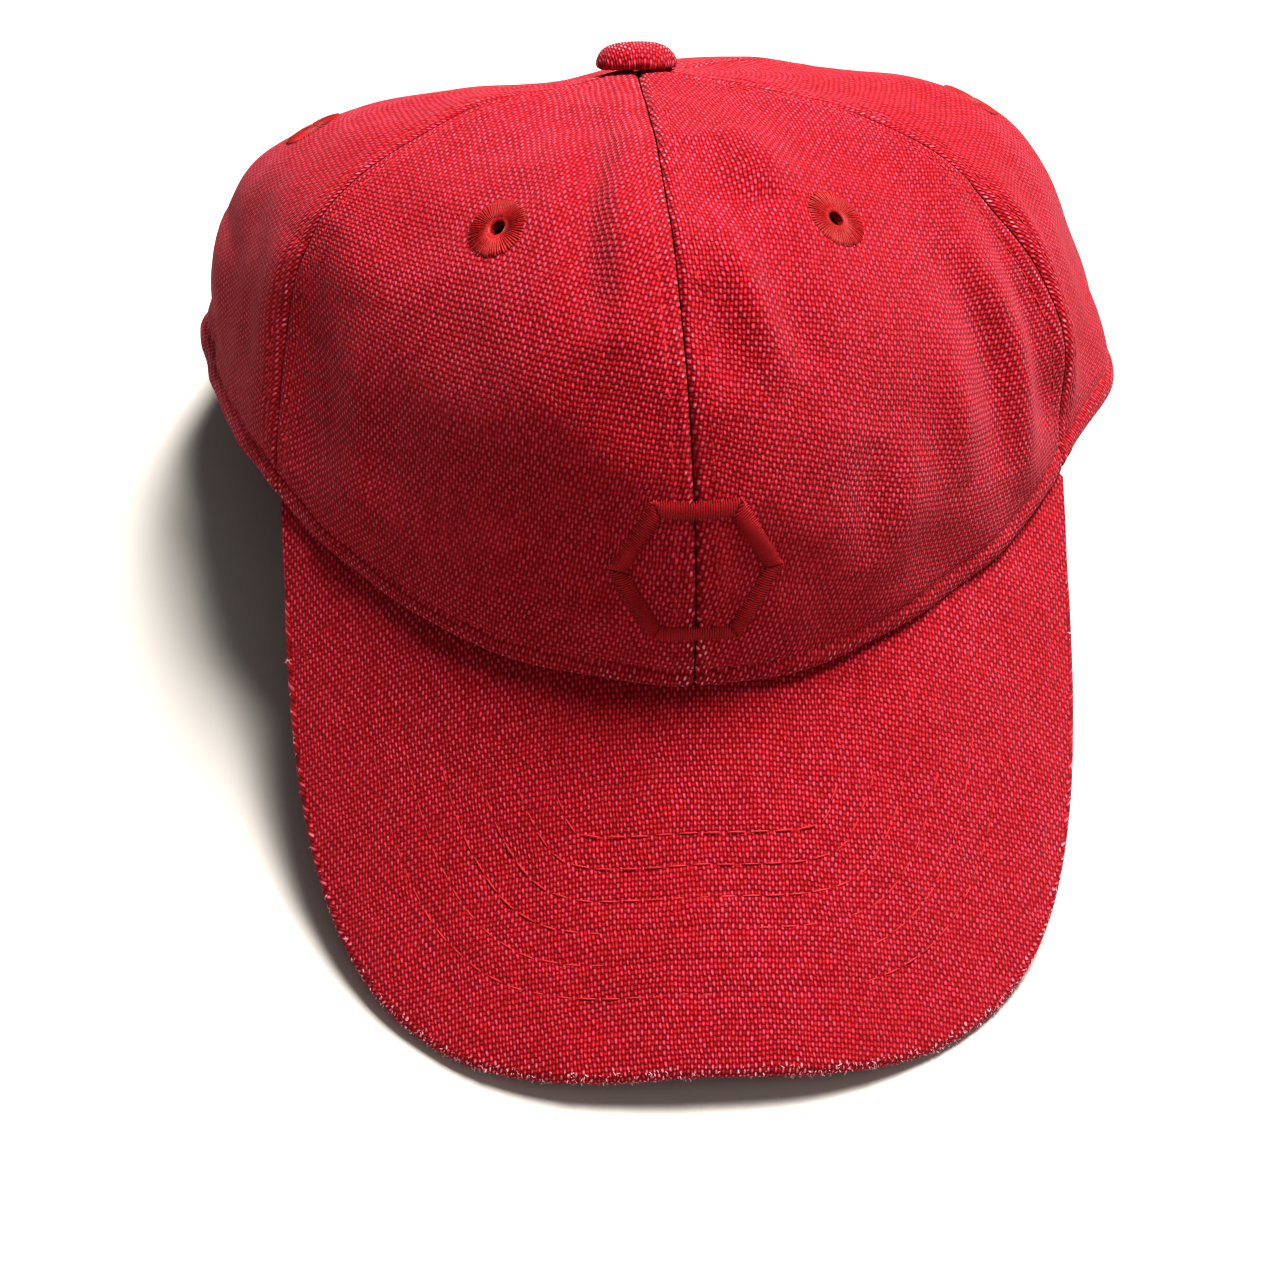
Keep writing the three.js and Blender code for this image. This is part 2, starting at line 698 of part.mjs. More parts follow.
function strap() {
  const end = OPENING_HALF_WIDTH + BINDING_WIDTH;
  const low = STRAP_START;
  const high = STRAP_START + STRAP_HEIGHT;
  const start = BUCKLE_LENGTH / 2 + STRAP_BAR_GAP;
  const strip = (from, to, depth, columns) => (
    rearStrip(from, to, low, high, depth, STRAP_THICKNESS, columns)
  );
  const long = strip(-end, STRAP_FREE_END, STRAP_DEPTH, LONG_STRAP_COLUMNS);
  const short = strip(start, end, STRAP_INNER_DEPTH, SHORT_STRAP_COLUMNS);
  const slotDepth = STRAP_INNER_DEPTH - STRAP_DEPTH + STRAP_THICKNESS + 2 * FIT_GAP;
  const keeperBlock = (margin, overrun, thickness) => rearStrip(
    KEEPER_AT - KEEPER_WIDTH / 2 - overrun,
    KEEPER_AT + KEEPER_WIDTH / 2 + overrun,
    low - margin,
    high + margin,
    STRAP_DEPTH - margin,
    thickness,
    KEEPER_COLUMNS,
  );
  const loop = keeperBlock(FIT_GAP + KEEPER_THICKNESS, 0, slotDepth + 2 * KEEPER_THICKNESS);
  const slot = keeperBlock(FIT_GAP, SLOT_OVERRUN, slotDepth);
  return [
    part('strap_long', long, canvas),
    part('strap_short', short, canvas),
    part('strap_keeper', cut(loop, slot), canvas),
  ];
}

// ---------------------------------------------------------------- buckle

// Pieces are made about the middle of the strap: X across the cap to its -X side, Y up, Z outwards.
function buckle() {
  const insideHeight = STRAP_HEIGHT + 2 * FIT_GAP;
  const earHeight = insideHeight + 2 * BUCKLE_PLATE;
  const plateTop = -STRAP_DEPTH - STRAP_THICKNESS - BUCKLE_BOW - FIT_GAP;
  const knuckleRadius = PIN_RADIUS + PIN_GAP + KNUCKLE_WALL;
  const pinX = -BUCKLE_LENGTH / 2 + EAR_LENGTH / 2;
  const pinZ = -STRAP_DEPTH + FIT_GAP + knuckleRadius;
  const earTop = pinZ + knuckleRadius;
  const upright = (geometry) => geometry.rotateX(-Math.PI / 2).translate(pinX, 0, pinZ);
  const bore = (radius) => upright(turned(rodProfile(radius, -earHeight, earHeight)));

  const plate = block(
    [BUCKLE_LENGTH, earHeight, BUCKLE_PLATE],
    [0, 0, plateTop - BUCKLE_PLATE / 2],
  );
  const earDepth = earTop - plateTop + BUCKLE_PLATE;
  const earOffset = (insideHeight + BUCKLE_PLATE) / 2;
  const ear = (side) => block(
    [EAR_LENGTH, BUCKLE_PLATE, earDepth],
    [pinX, side * earOffset, earTop - earDepth / 2],
  );
  const base = cut(join(join(plate, ear(1)), ear(-1)), bore(PIN_RADIUS + PIN_GAP));

  const leverHeight = insideHeight - 2 * FIT_GAP;
  const knuckle = upright(turned(rodProfile(knuckleRadius, -leverHeight / 2, leverHeight / 2)));
  const leverLength = BUCKLE_LENGTH - EAR_LENGTH / 2;
  const flap = block(
    [leverLength, leverHeight, LEVER_PLATE],
    [pinX + leverLength / 2, 0, earTop - LEVER_PLATE / 2],
  );
  const lever = cut(join(flap, knuckle), bore(PIN_RADIUS + PIN_GAP));
  const pin = upright(turned(rodProfile(PIN_RADIUS, -earHeight / 2, earHeight / 2)));

  const frame = crownFrame(Math.PI, upAtHeight(Math.PI, STRAP_START + STRAP_HEIGHT / 2));
  return [
    part('buckle_base', base, brass),
    part('buckle_lever', lever, brass),
    part('lever_pin', pin, steel),
  ].map((piece) => placed(piece, frame));
}

// ---------------------------------------------------------------- protective insert

function ventCutter(angle) {
  const slot = new THREE.Shape();
  const straight = VENT_LENGTH / 2 - VENT_HALF_WIDTH;
  slot.absarc(0, straight, VENT_HALF_WIDTH, 0, Math.PI, false);
  slot.absarc(0, -straight, VENT_HALF_WIDTH, Math.PI, 2 * Math.PI, false);
  slot.closePath();
  const options = { depth: VENT_CUT_DEPTH, bevelEnabled: false, curveSegments: VENT_SEGMENTS };
  const bar = new THREE.ExtrudeGeometry(slot, options).translate(0, 0, -VENT_CUT_DEPTH / 2);
  return bar.applyMatrix4(crownFrame(angle, VENT_HEIGHT, SHELL_DEPTH + SHELL_THICKNESS / 2));
}

// Point between the insert's rim and the edge of its top hole.
function insertPoint(angle, start, end, up, depth) {
  return layerPoint(angle, THREE.MathUtils.lerp(start, end, up), depth);
}

function insertShell() {
  const place = (across, up, side) => {
    const angle = 2 * Math.PI * across - Math.PI;
    const rim = upAtHeight(angle, SHELL_RIM_HEIGHT);
    const end = upNearApex(angle, SHELL_TOP_HOLE);
    return insertPoint(angle, rim, end, up, SHELL_DEPTH + side * SHELL_THICKNESS);
  };
  const dome = sheetSolid(place, SHELL_COLUMNS, SHELL_ROWS, true);
  const vents = VENT_ANGLES.flatMap((angle) => [ventCutter(angle), ventCutter(-angle)]);
  return part('insert_shell', cut(dome, ...vents), shellPlastic);
}

function crownPad() {
  const place = (across, up, side) => {
    const angle = 2 * Math.PI * across - Math.PI;
    const end = upNearApex(angle, SHELL_TOP_HOLE);
    return insertPoint(angle, PAD_CROWN_START, end, up, PAD_DEPTH + side * PAD_THICKNESS);
  };
  return part('pad_crown', sheetSolid(place, CROWN_PAD_COLUMNS, CROWN_PAD_ROWS, true), foam);
}

function rimPad(name, middle) {
  const place = (across, up, side) => {
    const angle = middle + (2 * across - 1) * PAD_HALF_ANGLE;
    const rim = upAtHeight(angle, SHELL_RIM_HEIGHT + PAD_RIM_MARGIN);
    return insertPoint(angle, rim, PAD_SIDE_END, up, PAD_DEPTH + side * PAD_THICKNESS);
  };
  return part(name, sheetSolid(place, RIM_PAD_COLUMNS, RIM_PAD_ROWS), foam);
}

function patch(angle, height, depth, thickness) {
  const place = (across, up, side) => {
    const halfTurn = PATCH_SIZE / 2 / crownAcross(angle, height).length();
    const halfRise = PATCH_SIZE / 2 / crownUp(angle, height).length();
    const turn = angle + (2 * across - 1) * halfTurn;
    return layerPoint(turn, height + (2 * up - 1) * halfRise, depth + side * thickness);
  };
  return sheetSolid(place, PATCH_CELLS, PATCH_CELLS);
}

function fasteners() {
  const patches = { hooks: [], loops: [] };
  ['front', 'rear'].forEach((place, i) => {
    for (const side of [1, -1]) {
      const suffix = `${place}_${sideName(side)}`;
      const angle = side * PATCH_ANGLES[i];
      const loop = patch(angle, PATCH_HEIGHTS[i], LOOP_DEPTH, LOOP_THICKNESS);
      const hook = patch(angle, PATCH_HEIGHTS[i], HOOK_DEPTH, HOOK_THICKNESS);
      patches.loops.push(part(`loop_patch_${suffix}`, loop, hookAndLoop));
      patches.hooks.push(part(`hook_patch_${suffix}`, hook, hookAndLoop));
    }
  });
  return patches;
}

function protectiveInsert() {
  return [
    insertShell(),
    crownPad(),
    rimPad('pad_front', 0),
    rimPad('pad_rear', Math.PI),
    rimPad('pad_right', Math.PI / 2),
    rimPad('pad_left', -Math.PI / 2),
  ];
}

// ---------------------------------------------------------------- assembly

const patches = fasteners();
const cover = new THREE.Group();
cover.add(...crownPanels(), ...eyelets(), ...seamTapes(), sweatband(), archBinding());
cover.add(...brim(), ...button(), emblem(), ...strap(), ...buckle(), ...patches.loops);

const insert = new THREE.Group();
insert.add(...protectiveInsert(), ...patches.hooks);

// The origin is on the table, under the middle of the whole cap.
const group = new THREE.Group();
group.add(cover, insert);
const bounds = new THREE.Box3().setFromObject(group);
const middle = bounds.getCenter(new THREE.Vector3());
group.position.set(-middle.x, -middle.y, -bounds.min.z);

export default group;
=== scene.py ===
"""Looks of a worn red canvas bump cap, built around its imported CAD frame.

Sizes are in millimetres, and a mesh is written in metres when it is made. Angles run round the
crown from the front centre seam towards +X, and ``up`` runs from 0 at the hem to 1 at the apex.
"""

import logging
import math
from collections.abc import Callable, Iterable
from dataclasses import dataclass, field
from enum import Enum

import bmesh
import bpy
import numpy as np
from mathutils import Matrix, Vector


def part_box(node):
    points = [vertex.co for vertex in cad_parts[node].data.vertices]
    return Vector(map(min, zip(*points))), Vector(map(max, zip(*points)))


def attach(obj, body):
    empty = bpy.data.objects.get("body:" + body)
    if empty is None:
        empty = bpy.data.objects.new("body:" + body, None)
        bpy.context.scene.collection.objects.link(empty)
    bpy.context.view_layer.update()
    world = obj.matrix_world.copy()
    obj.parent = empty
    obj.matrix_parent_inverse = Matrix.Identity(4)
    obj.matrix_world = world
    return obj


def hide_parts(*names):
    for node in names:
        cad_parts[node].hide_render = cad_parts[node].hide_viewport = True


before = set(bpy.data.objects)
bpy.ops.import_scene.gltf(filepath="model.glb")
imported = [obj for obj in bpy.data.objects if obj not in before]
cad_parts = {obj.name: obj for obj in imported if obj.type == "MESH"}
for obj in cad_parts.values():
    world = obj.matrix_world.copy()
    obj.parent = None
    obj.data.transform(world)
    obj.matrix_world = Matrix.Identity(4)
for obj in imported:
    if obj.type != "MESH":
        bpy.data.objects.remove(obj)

LOG = logging.getLogger("bump_cap")
MM = 0.001
NEWTON_STEPS = 12

Array = np.ndarray
Triple = tuple[float, float, float]
Colour = tuple[float, float, float, float]
Node = bpy.types.Node
Socket = bpy.types.NodeSocket
Source = Socket | float | tuple[float, ...]
Place = Callable[[Array, Array], Array]
Spot = Callable[[Array, Array], tuple[Array, Array]]


class Body(Enum):
    """CAD bodies that pieces ride on."""

    COVER = "cover"
    INSERT = "insert"
    LEVER = "lever"


class Side(Enum):
    """Halves of the cap, as seen facing the brim."""

    RIGHT = 1
    LEFT = -1

    @property
    def label(self) -> str:
        """Name of the half in a piece's name."""
        return self.name.lower()


# ------------------------------------------------------------------ small vector helpers


def signed_power(value: Array, exponent: float) -> Array:
    """Power of a value's size that keeps its sign."""
    return np.sign(value) * np.abs(value) ** exponent


def unit(vectors: Array) -> Array:
    """Vectors scaled to a length of one."""
    return vectors / np.maximum(np.linalg.norm(vectors, axis=-1, keepdims=True), 1e-9)


def smooth_step(value: Array, low: float, high: float) -> Array:
    """Smooth climb from 0 at ``low`` to 1 at ``high``."""
    share = np.clip((value - low) / (high - low), 0, 1)
    return share * share * (3 - 2 * share)


def bell(distance: Array, width: float) -> Array:
    """Bell curve of a distance, nearly gone at twice its width."""
    return np.exp(-((distance / width) ** 2))


def distance_to_path(points: Array, path: Array) -> tuple[Array, Array]:
    """Distance from points to a broken line.

    Args:
        points: Places, as rows of three numbers.
        path: Corners of the line, as rows of three numbers.

    Returns:
        The distances, and how far along the line each nearest place lies, from 0 to 1.
    """
    lengths = np.linalg.norm(np.diff(path, axis=0), axis=1)
    starts = np.concatenate([[0], np.cumsum(lengths)])
    best = np.full(len(points), np.inf)
    along = np.zeros(len(points))
    for i, length in enumerate(lengths):
        direction = (path[i + 1] - path[i]) / length
        reach = np.clip((points - path[i]) @ direction, 0, length)
        gap = np.linalg.norm(points - path[i] - reach[:, None] * direction, axis=1)
        nearer = gap < best
        best[nearer] = gap[nearer]
        along[nearer] = (starts[i] + reach[nearer]) / starts[-1]
    return best, along


def axes(x: Array, y: Array, z: Array, place: Array) -> Array:
    """Matrix that sends the unit axes to three vectors and the origin to a place.

    Args:
        x: Where the X axis goes.
        y: Where the Y axis goes.
        z: Where the Z axis goes.
        place: Where the origin goes.

    Returns:
        A 4 by 4 matrix.
    """
    matrix = np.eye(4)
    matrix[:3] = np.stack([x, y, z, place], -1)
    return matrix


@dataclass(frozen=True)
class SoftNoise:
    """Smooth bumps that go on over the whole cap, as a sum of waves in seeded directions."""

    seed: int
    scale: float
    waves: int = 9

    def at(self, points: Array) -> Array:
        """Height of the bumps at points, roughly between -1 and 1.

        Args:
            points: Points in millimetres, as rows.

        Returns:
            A height for each point.
        """
        random = np.random.default_rng(self.seed)
        directions = unit(random.normal(size=(self.waves, 3)))
        lengths = self.scale * random.uniform(0.7, 1.6, self.waves)
        phases = random.uniform(0, 2 * math.pi, self.waves)
        waves = np.sin(points @ (directions / lengths[:, None] * 2 * math.pi).T + phases)
        return waves.sum(axis=1) / math.sqrt(self.waves)


# ------------------------------------------------------------------ form of the cap


@dataclass(frozen=True)
class Profile:
    """Rise, lean and reach of the crown's curve on one of its sides."""

    rise: float
    lean: float
    reach: float


@dataclass(frozen=True)
class Fold:
    """Soft crease in the cloth: a ridge where ``height`` is above 0, and a valley below it.

    ``path`` holds angles in degrees with shares of the rise, and ``width`` is in millimetres.
    """

    path: tuple[tuple[float, float], ...]
    width: float
    height: float


@dataclass(frozen=True)
class Swell:
    """Round rise in the cloth, or a dent where ``height`` is below 0.

    ``angle`` is in degrees, ``up`` is a share of the rise, and ``width`` is in millimetres.
    """

    angle: float
    up: float
    width: float
    height: float


@dataclass(frozen=True)
class CapForm:
    """Outer faces of the crown and of the brim, and the creases of the cloth.

    They are the CAD frame's own faces, but for the hem, which sags a little at the sides.
    """

    shift: Triple
    hem_half_width: float = 102
    hem_front_reach: float = 119
    hem_rear_reach: float = 71
    hem_squareness: float = 1.87
    hem_rear_sweep: float = 2
    side_sag: float = 3.0
    side_sag_angle: float = math.radians(80)
    side_sag_width: float = 0.25
    square_hem: float = 0.1
    front: Profile = Profile(69, -0.07, 75)
    side: Profile = Profile(35.5, -0.39, 96)
    rear: Profile = Profile(47.5, 0.08, 49)
    front_corner_slack: float = -11.5
    rear_corner_slack: float = -2
    apex: Triple = (-5, -2, 101.5)
    apex_tilt: float = math.radians(37.5)
    brim_end_angle: float = math.radians(53.7)
    brim_reach: float = 182
    brim_squareness: float = 3
    brim_slope: float = math.radians(31.1)
    brim_arch: float = 28.7
    brim_stack: float = 4.8
    seam_front_side: float = math.radians(60)
    seam_turn_end: float = 0.4
    fit_gap: float = 0.3
    folds: tuple[Fold, ...] = ()
    swells: tuple[Swell, ...] = ()
    soft_waves: tuple[tuple[float, SoftNoise], ...] = ((0.5, SoftNoise(3, 46)), (0.3, SoftNoise(8, 19)))
    calm_spots: tuple[tuple[float, float], ...] = ()
    calm_radius: float = 15
    deepest: float = -2.6

    # ---- plan and brim

    def hem_plan(self, angle: Array) -> tuple[Array, Array]:
        """Hem outline from above, before the shift.

        Args:
            angle: Angles round the crown, in radians.

        Returns:
            The x and y of each place.
        """
        power = 2 / self.hem_squareness
        reach = np.where(np.cos(angle) > 0, self.hem_front_reach, self.hem_rear_reach)
        x = self.hem_half_width * signed_power(np.sin(angle), power)
        return x, -reach * signed_power(np.cos(angle), power)

    @property
    def brim_end(self) -> tuple[float, float]:
        """Place where the brim's free edge meets the hem."""
        x, y = self.hem_plan(np.array(self.brim_end_angle))
        return float(x), float(y)

    def brim_rise(self, x: Array, y: Array) -> Array:
        """Height of the brim's top face before it is lifted onto the table."""
        slope = math.tan(self.brim_slope)
        return (y + self.brim_reach) * slope - self.brim_arch * (x / self.brim_end[0]) ** 2

    def brim_normal(self, x: Array) -> Array:
        """Direction out of the brim's top face."""
        lean = 2 * self.brim_arch * x / self.brim_end[0] ** 2
        return unit(np.stack([lean, np.full_like(x, -math.tan(self.brim_slope)), np.ones_like(x)], -1))

    def brim_outline(self, across: Array) -> tuple[Array, Array]:
        """Free edge of the brim from above; across runs from -1 to 1.

        Args:
            across: Shares of the width, from -1 to 1.

        Returns:
            The x and y of each place.
        """
        end_x, end_y = self.brim_end
        angle = across * math.pi / 2
        power = 2 / self.brim_squareness
        reach = np.abs(np.cos(angle)) ** power
        return end_x * signed_power(np.sin(angle), power), end_y - (end_y + self.brim_reach) * reach

    @property
    def brim_lift(self) -> float:
        """Lift that sets the lowest corner of the brim's underside on the table.

        Returns:
            The lift in millimetres.
        """
        x, y = self.brim_outline(np.linspace(-1, 1, 29))
        low = self.brim_rise(x, y) - self.brim_stack * self.brim_normal(x)[..., 2]
        return -float(low.min())

    def brim_top(self, x: Array, y: Array) -> Array:
        """Height of the brim's top face."""
        return self.brim_rise(x, y) + self.brim_lift

    def hem_height(self, angle: Array, x: Array, y: Array) -> Array:
        """Height of the crown's lower edge over a point of its outline.

        Args:
            angle: Angles round the crown, in radians.
            x: Distances from the middle plane.
            y: Places from front to back.

        Returns:
            Heights above the table.
        """
        end_x, end_y = self.brim_end
        start = float(self.brim_top(np.array(end_x), np.array(end_y))) + self.fit_gap
        share = (np.abs(angle) - self.brim_end_angle) / (math.pi - self.brim_end_angle)
        behind = start * ((1 + np.cos(math.pi * np.clip(share, 0, 1))) / 2) ** self.hem_rear_sweep
        sag = self.side_sag * bell(np.abs(angle) - self.side_sag_angle, self.side_sag_width)
        behind -= sag * smooth_step(share, 0, 0.12)
        return np.where(share <= 0, self.brim_top(x, y) + self.fit_gap, behind)

    # ---- crown

    def mixed(self, angle: Array, key: str) -> Array:
        """Front, side and rear profile values mixed at an angle.

        Args:
            angle: Angles round the crown, in radians.
            key: Name of the profile's value.

        Returns:
            The value at each angle.
        """
        along = np.cos(angle) ** 2
        end = np.where(np.cos(angle) > 0, getattr(self.front, key), getattr(self.rear, key))
        return along * end + (1 - along) * getattr(self.side, key)

    def slack(self, angle: Array) -> Array:
        """Change of the reach between the four sides."""
        corner = np.where(np.cos(angle) > 0, self.front_corner_slack, self.rear_corner_slack)
        return corner * np.sin(2 * angle) ** 2

    def reach(self, angle: Array) -> Array:
        """Reach of the round top at an angle."""
        return self.mixed(angle, "reach") + self.slack(angle)

    def crown(self, angle: Array, up: Array) -> Array:
        """Points of the smooth outer face, before the shift.

        Args:
            angle: Angles round the crown, in radians.
            up: Shares of the rise, from 0 at the hem to 1 at the top.

        Returns:
            Points in millimetres.
        """
        angle, up = np.broadcast_arrays(np.asarray(angle, float), np.asarray(up, float))
        sine, cosine = np.sin(angle), np.cos(angle)
        x, y = self.hem_plan(angle)
        foot = np.stack([x, y, self.hem_height(angle, x, y)], -1)
        lean = self.mixed(angle, "lean")
        rising = np.stack([sine * lean, -cosine * lean, np.ones_like(sine)], -1)
        tilt_cos, tilt_sin = math.cos(self.apex_tilt), math.sin(self.apex_tilt)
        arriving = np.stack([sine, -cosine * tilt_cos, cosine * tilt_sin], -1)
        rise = (self.mixed(angle, "rise") + self.slack(angle) / 2)[..., None]
        top = np.array(self.apex, float)
        second = top + arriving * self.reach(angle)[..., None]
        down, up = (1 - up)[..., None], up[..., None]
        low = down**3 * foot + 3 * down**2 * up * (foot + rising * rise)
        return low + 3 * down * up**2 * second + up**3 * top

    def across(self, angle: Array, up: Array, step: float = 1e-3) -> Array:
        """Change of the crown's point for each radian round it."""
        return (self.crown(angle + step, up) - self.crown(angle - step, up)) / (2 * step)

    def rise(self, angle: Array, up: Array, step: float = 1e-3) -> Array:
        """Change of the crown's point for each whole rise."""
        return (self.crown(angle, up + step) - self.crown(angle, up - step)) / (2 * step)

    def radian(self, angle: Array, up: Array) -> Array:
        """Millimetres round the crown for each radian."""
        return np.linalg.norm(self.across(angle, up), axis=-1)

    def normal(self, angle: Array, up: Array) -> Array:
        """Direction out of the smooth crown."""
        return unit(np.cross(self.across(angle, up), self.rise(angle, up)))

    def layer(self, angle: Array, up: Array, depth: Array | float) -> Array:
        """Points at a depth below the outer face, with the hem cut square.

        Args:
            angle: Angles round the crown.
            up: Shares of the rise.
            depth: Depths below the smooth outer face.

        Returns:
            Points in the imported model's frame.
        """
        angle, up = np.broadcast_arrays(np.asarray(angle, float), np.asarray(up, float))
        normal = self.normal(angle, up)
        normal[..., 2] *= np.clip(up / self.square_hem, 0, 1)
        points = self.crown(angle, up) - unit(normal) * np.asarray(depth)[..., None]
        return points + np.array(self.shift)

    def lengths(self, angle: Array, steps: int = 80) -> tuple[Array, Array]:
        """Shares of the rise and the length of the meridian up to each, a row for each angle.

        Args:
            angle: Angles round the crown, in radians.
            steps: Number of pieces that a meridian is measured in.

        Returns:
            The shares, and the lengths.
        """
        ups = np.linspace(0, 1, steps + 1)
        points = self.crown(angle[:, None], ups[None, :])
        pieces = np.linalg.norm(np.diff(points, axis=1), axis=2)
        return ups, np.concatenate([np.zeros((len(angle), 1)), np.cumsum(pieces, axis=1)], axis=1)

    def up_at_height(self, angle: Array, height: Array | float) -> Array:
        """Share of each meridian that lies a length above the hem.

        Args:
            angle: Angles round the crown, in radians.
            height: Lengths above the hem.

        Returns:
            Shares of the rise.
        """
        angle, height = np.broadcast_arrays(np.asarray(angle, float), np.asarray(height, float))
        known, rows = np.unique(angle.ravel(), return_inverse=True)
        ups, table = self.lengths(known)
        flat = height.ravel()
        found = [np.interp(flat[i], table[row], ups) for i, row in enumerate(rows.ravel())]
        return np.array(found).reshape(angle.shape)

    def share_above(self, angle: float, height: float) -> float:
        """Share of one meridian that lies a length above the hem."""
        return float(self.up_at_height(np.array([angle]), np.array([height]))[0])

    def height_at(self, angle: Array, up: Array) -> Array:
        """Length of each meridian up to a share of its rise.

        Args:
            angle: Angles round the crown, in radians.
            up: Shares of the rise, from 0 at the hem to 1 at the top.

        Returns:
            Lengths above the hem.
        """
        known, rows = np.unique(np.round(angle, 3), return_inverse=True)
        ups, table = self.lengths(known)
        return np.array([np.interp(up[i], ups, table[row]) for i, row in enumerate(rows.ravel())])

    def up_near_apex(self, angle: Array, distance: float) -> Array:
        """Share of the meridian that ends a distance short of the apex."""
        return 1 - distance / (3 * self.reach(angle))

    def seam_angle(self, seam: float, up: Array) -> Array:
        """Angle of a panel seam; the front side seams swing in to the ends of the brim.

        Args:
            seam: Angle of the seam at the top.
            up: Shares of the rise, from 0 at the hem to 1 at the top.

        Returns:
            An angle for each share.
        """
        if abs(abs(seam) - self.seam_front_side) > 1e-6:
            return np.full_like(up, seam)
        swing = np.clip(1 - up / self.seam_turn_end, 0, None) ** 2
        turned = self.seam_front_side + (self.brim_end_angle - self.seam_front_side) * swing
        return math.copysign(1, seam) * turned

    def rear_angle(self, x: Array) -> Array:
        """Angle behind the cap at which the hem outline is x away from the middle."""
        turn = np.arcsin((np.abs(x) / self.hem_half_width) ** (self.hem_squareness / 2))
        return math.pi - np.sign(x) * turn

    def find(self, x: Array, z: Array, angle: Array, up: Array) -> tuple[Array, Array]:
        """Angle and share of the rise of crown points with a given x and height.

        Args:
            x: Distances from the middle plane.
            z: Heights above the table.
            angle: First guesses of the angles.
            up: First guesses of the shares.

        Returns:
            The angles and the shares, after a few of Newton's steps.
        """
        for _ in range(NEWTON_STEPS):
            point = self.crown(angle, up)
            a, b = self.across(angle, up), self.rise(angle, up)
            off_x, off_z = x - point[..., 0], z - point[..., 2]
            scale = a[..., 0] * b[..., 2] - a[..., 2] * b[..., 0]
            angle = angle + (off_x * b[..., 2] - off_z * b[..., 0]) / scale
            up = np.clip(up + (a[..., 0] * off_z - a[..., 2] * off_x) / scale, 0, 1)
        return angle, up

    # ---- creases

    def creases(self, angle: Array, up: Array) -> Array:
        """Height of the soft creases along the normal, which all layers of the cover share.

        Args:
            angle: Angles round the crown, in radians.
            up: Shares of the rise, from 0 at the hem to 1 at the top.

        Returns:
            Heights in millimetres.
        """
        angle, up = np.broadcast_arrays(np.asarray(angle, float), np.asarray(up, float))
        points = self.crown(angle.ravel(), up.ravel())
        total = sum(height * noise.at(points) for height, noise in self.soft_waves)
        for fold in self.folds:
            degrees, ups = np.array(fold.path, float).T
            fine = np.linspace(0, len(fold.path) - 1, 6 * len(fold.path) - 5)
            stations = np.arange(len(fold.path))
            turn = np.radians(np.interp(fine, stations, degrees))
            path = self.crown(turn, np.interp(fine, stations, ups))
            distance, along = distance_to_path(points, path)
            total += fold.height * bell(distance, fold.width) * np.sin(math.pi * along) ** 0.7
        total *= smooth_step(1 - up.ravel(), 0.02, 0.2) * 0.85 + 0.15
        for degrees, share in self.calm_spots:
            spot = self.crown(math.radians(degrees), share)
            total *= 1 - bell(np.linalg.norm(points - spot, axis=1), self.calm_radius)
        for swell in self.swells:
            centre = self.crown(math.radians(swell.angle), swell.up)
            total += swell.height * bell(np.linalg.norm(points - centre, axis=1), swell.width)
        return np.maximum(total, self.deepest).reshape(angle.shape)

    def frame_at(self, angle: float, up: float, depth: float) -> Array:
        """Turn and place that stand Z on the crown, with X level and Y up the meridian.

        Args:
            angle: Angle round the crown.
            up: Share of the rise.
            depth: Depth of the place below the outer face.

        Returns:
            A 4 by 4 matrix in millimetres.
        """
        normal = self.normal(angle, up)
        rise = self.rise(angle, up)
        rise = unit(rise - normal * (rise @ normal))
        place = self.crown(angle, up) - normal * depth + np.array(self.shift)
        return axes(np.cross(rise, normal), rise, normal, place)


# ------------------------------------------------------------------ meshes


def make_object(name: str, mesh: bpy.types.Mesh) -> bpy.types.Object:
    """New object at the origin, in the scene.

    Args:
        name: Name of the object.
        mesh: Its mesh.

    Returns:
        The object.
    """
    made = bpy.data.objects.new(name, mesh)
    bpy.context.scene.collection.objects.link(made)
    return made


def from_bmesh(name: str, shape: bmesh.types.BMesh, scale: float = MM) -> bpy.types.Object:
    """Object made of a bmesh in millimetres, which is freed.

    Args:
        name: Name of the object.
        shape: The bmesh.
        scale: Length of its unit, in metres.

    Returns:
        The object.
    """
    bmesh.ops.scale(shape, vec=Vector((scale, scale, scale)), verts=shape.verts)
    mesh = bpy.data.meshes.new(name)
    shape.to_mesh(mesh)
    shape.free()
    return make_object(name, mesh)


def coordinates(mesh: bpy.types.Mesh) -> Array:
    """Places of a mesh's vertices, as rows of three numbers.

    Args:
        mesh: The mesh.

    Returns:
        A row for each vertex.
    """
    flat = np.empty(len(mesh.vertices) * 3)
    mesh.vertices.foreach_get("co", flat)
    return flat.reshape(-1, 3)


def set_coordinates(mesh: bpy.types.Mesh, points: Array) -> None:
    """Moves a mesh's vertices."""
    mesh.vertices.foreach_set("co", np.ascontiguousarray(points, dtype=np.float64).ravel())
    mesh.update()


def set_map(mesh: bpy.types.Mesh, per_vertex: Array) -> None:
    """Gives a mesh a UV map, in millimetres of cloth.

    Args:
        mesh: The mesh.
        per_vertex: Place on the cloth for each vertex.
    """
    corners = np.empty(len(mesh.loops), dtype=np.int64)
    mesh.loops.foreach_get("vertex_index", corners)
    layer = mesh.uv_layers.get("cloth") or mesh.uv_layers.new(name="cloth")
    layer.data.foreach_set("uv", per_vertex[corners].astype(np.float32).ravel())


def set_wear(mesh: bpy.types.Mesh, wear: Array) -> None:
    """Gives a mesh its wear, from 0 where it is new to 1 where it is rubbed pale."""
    attribute = mesh.attributes.new("wear", "FLOAT", "POINT")
    attribute.data.foreach_set("value", np.clip(wear, 0, 1).astype(np.float32))


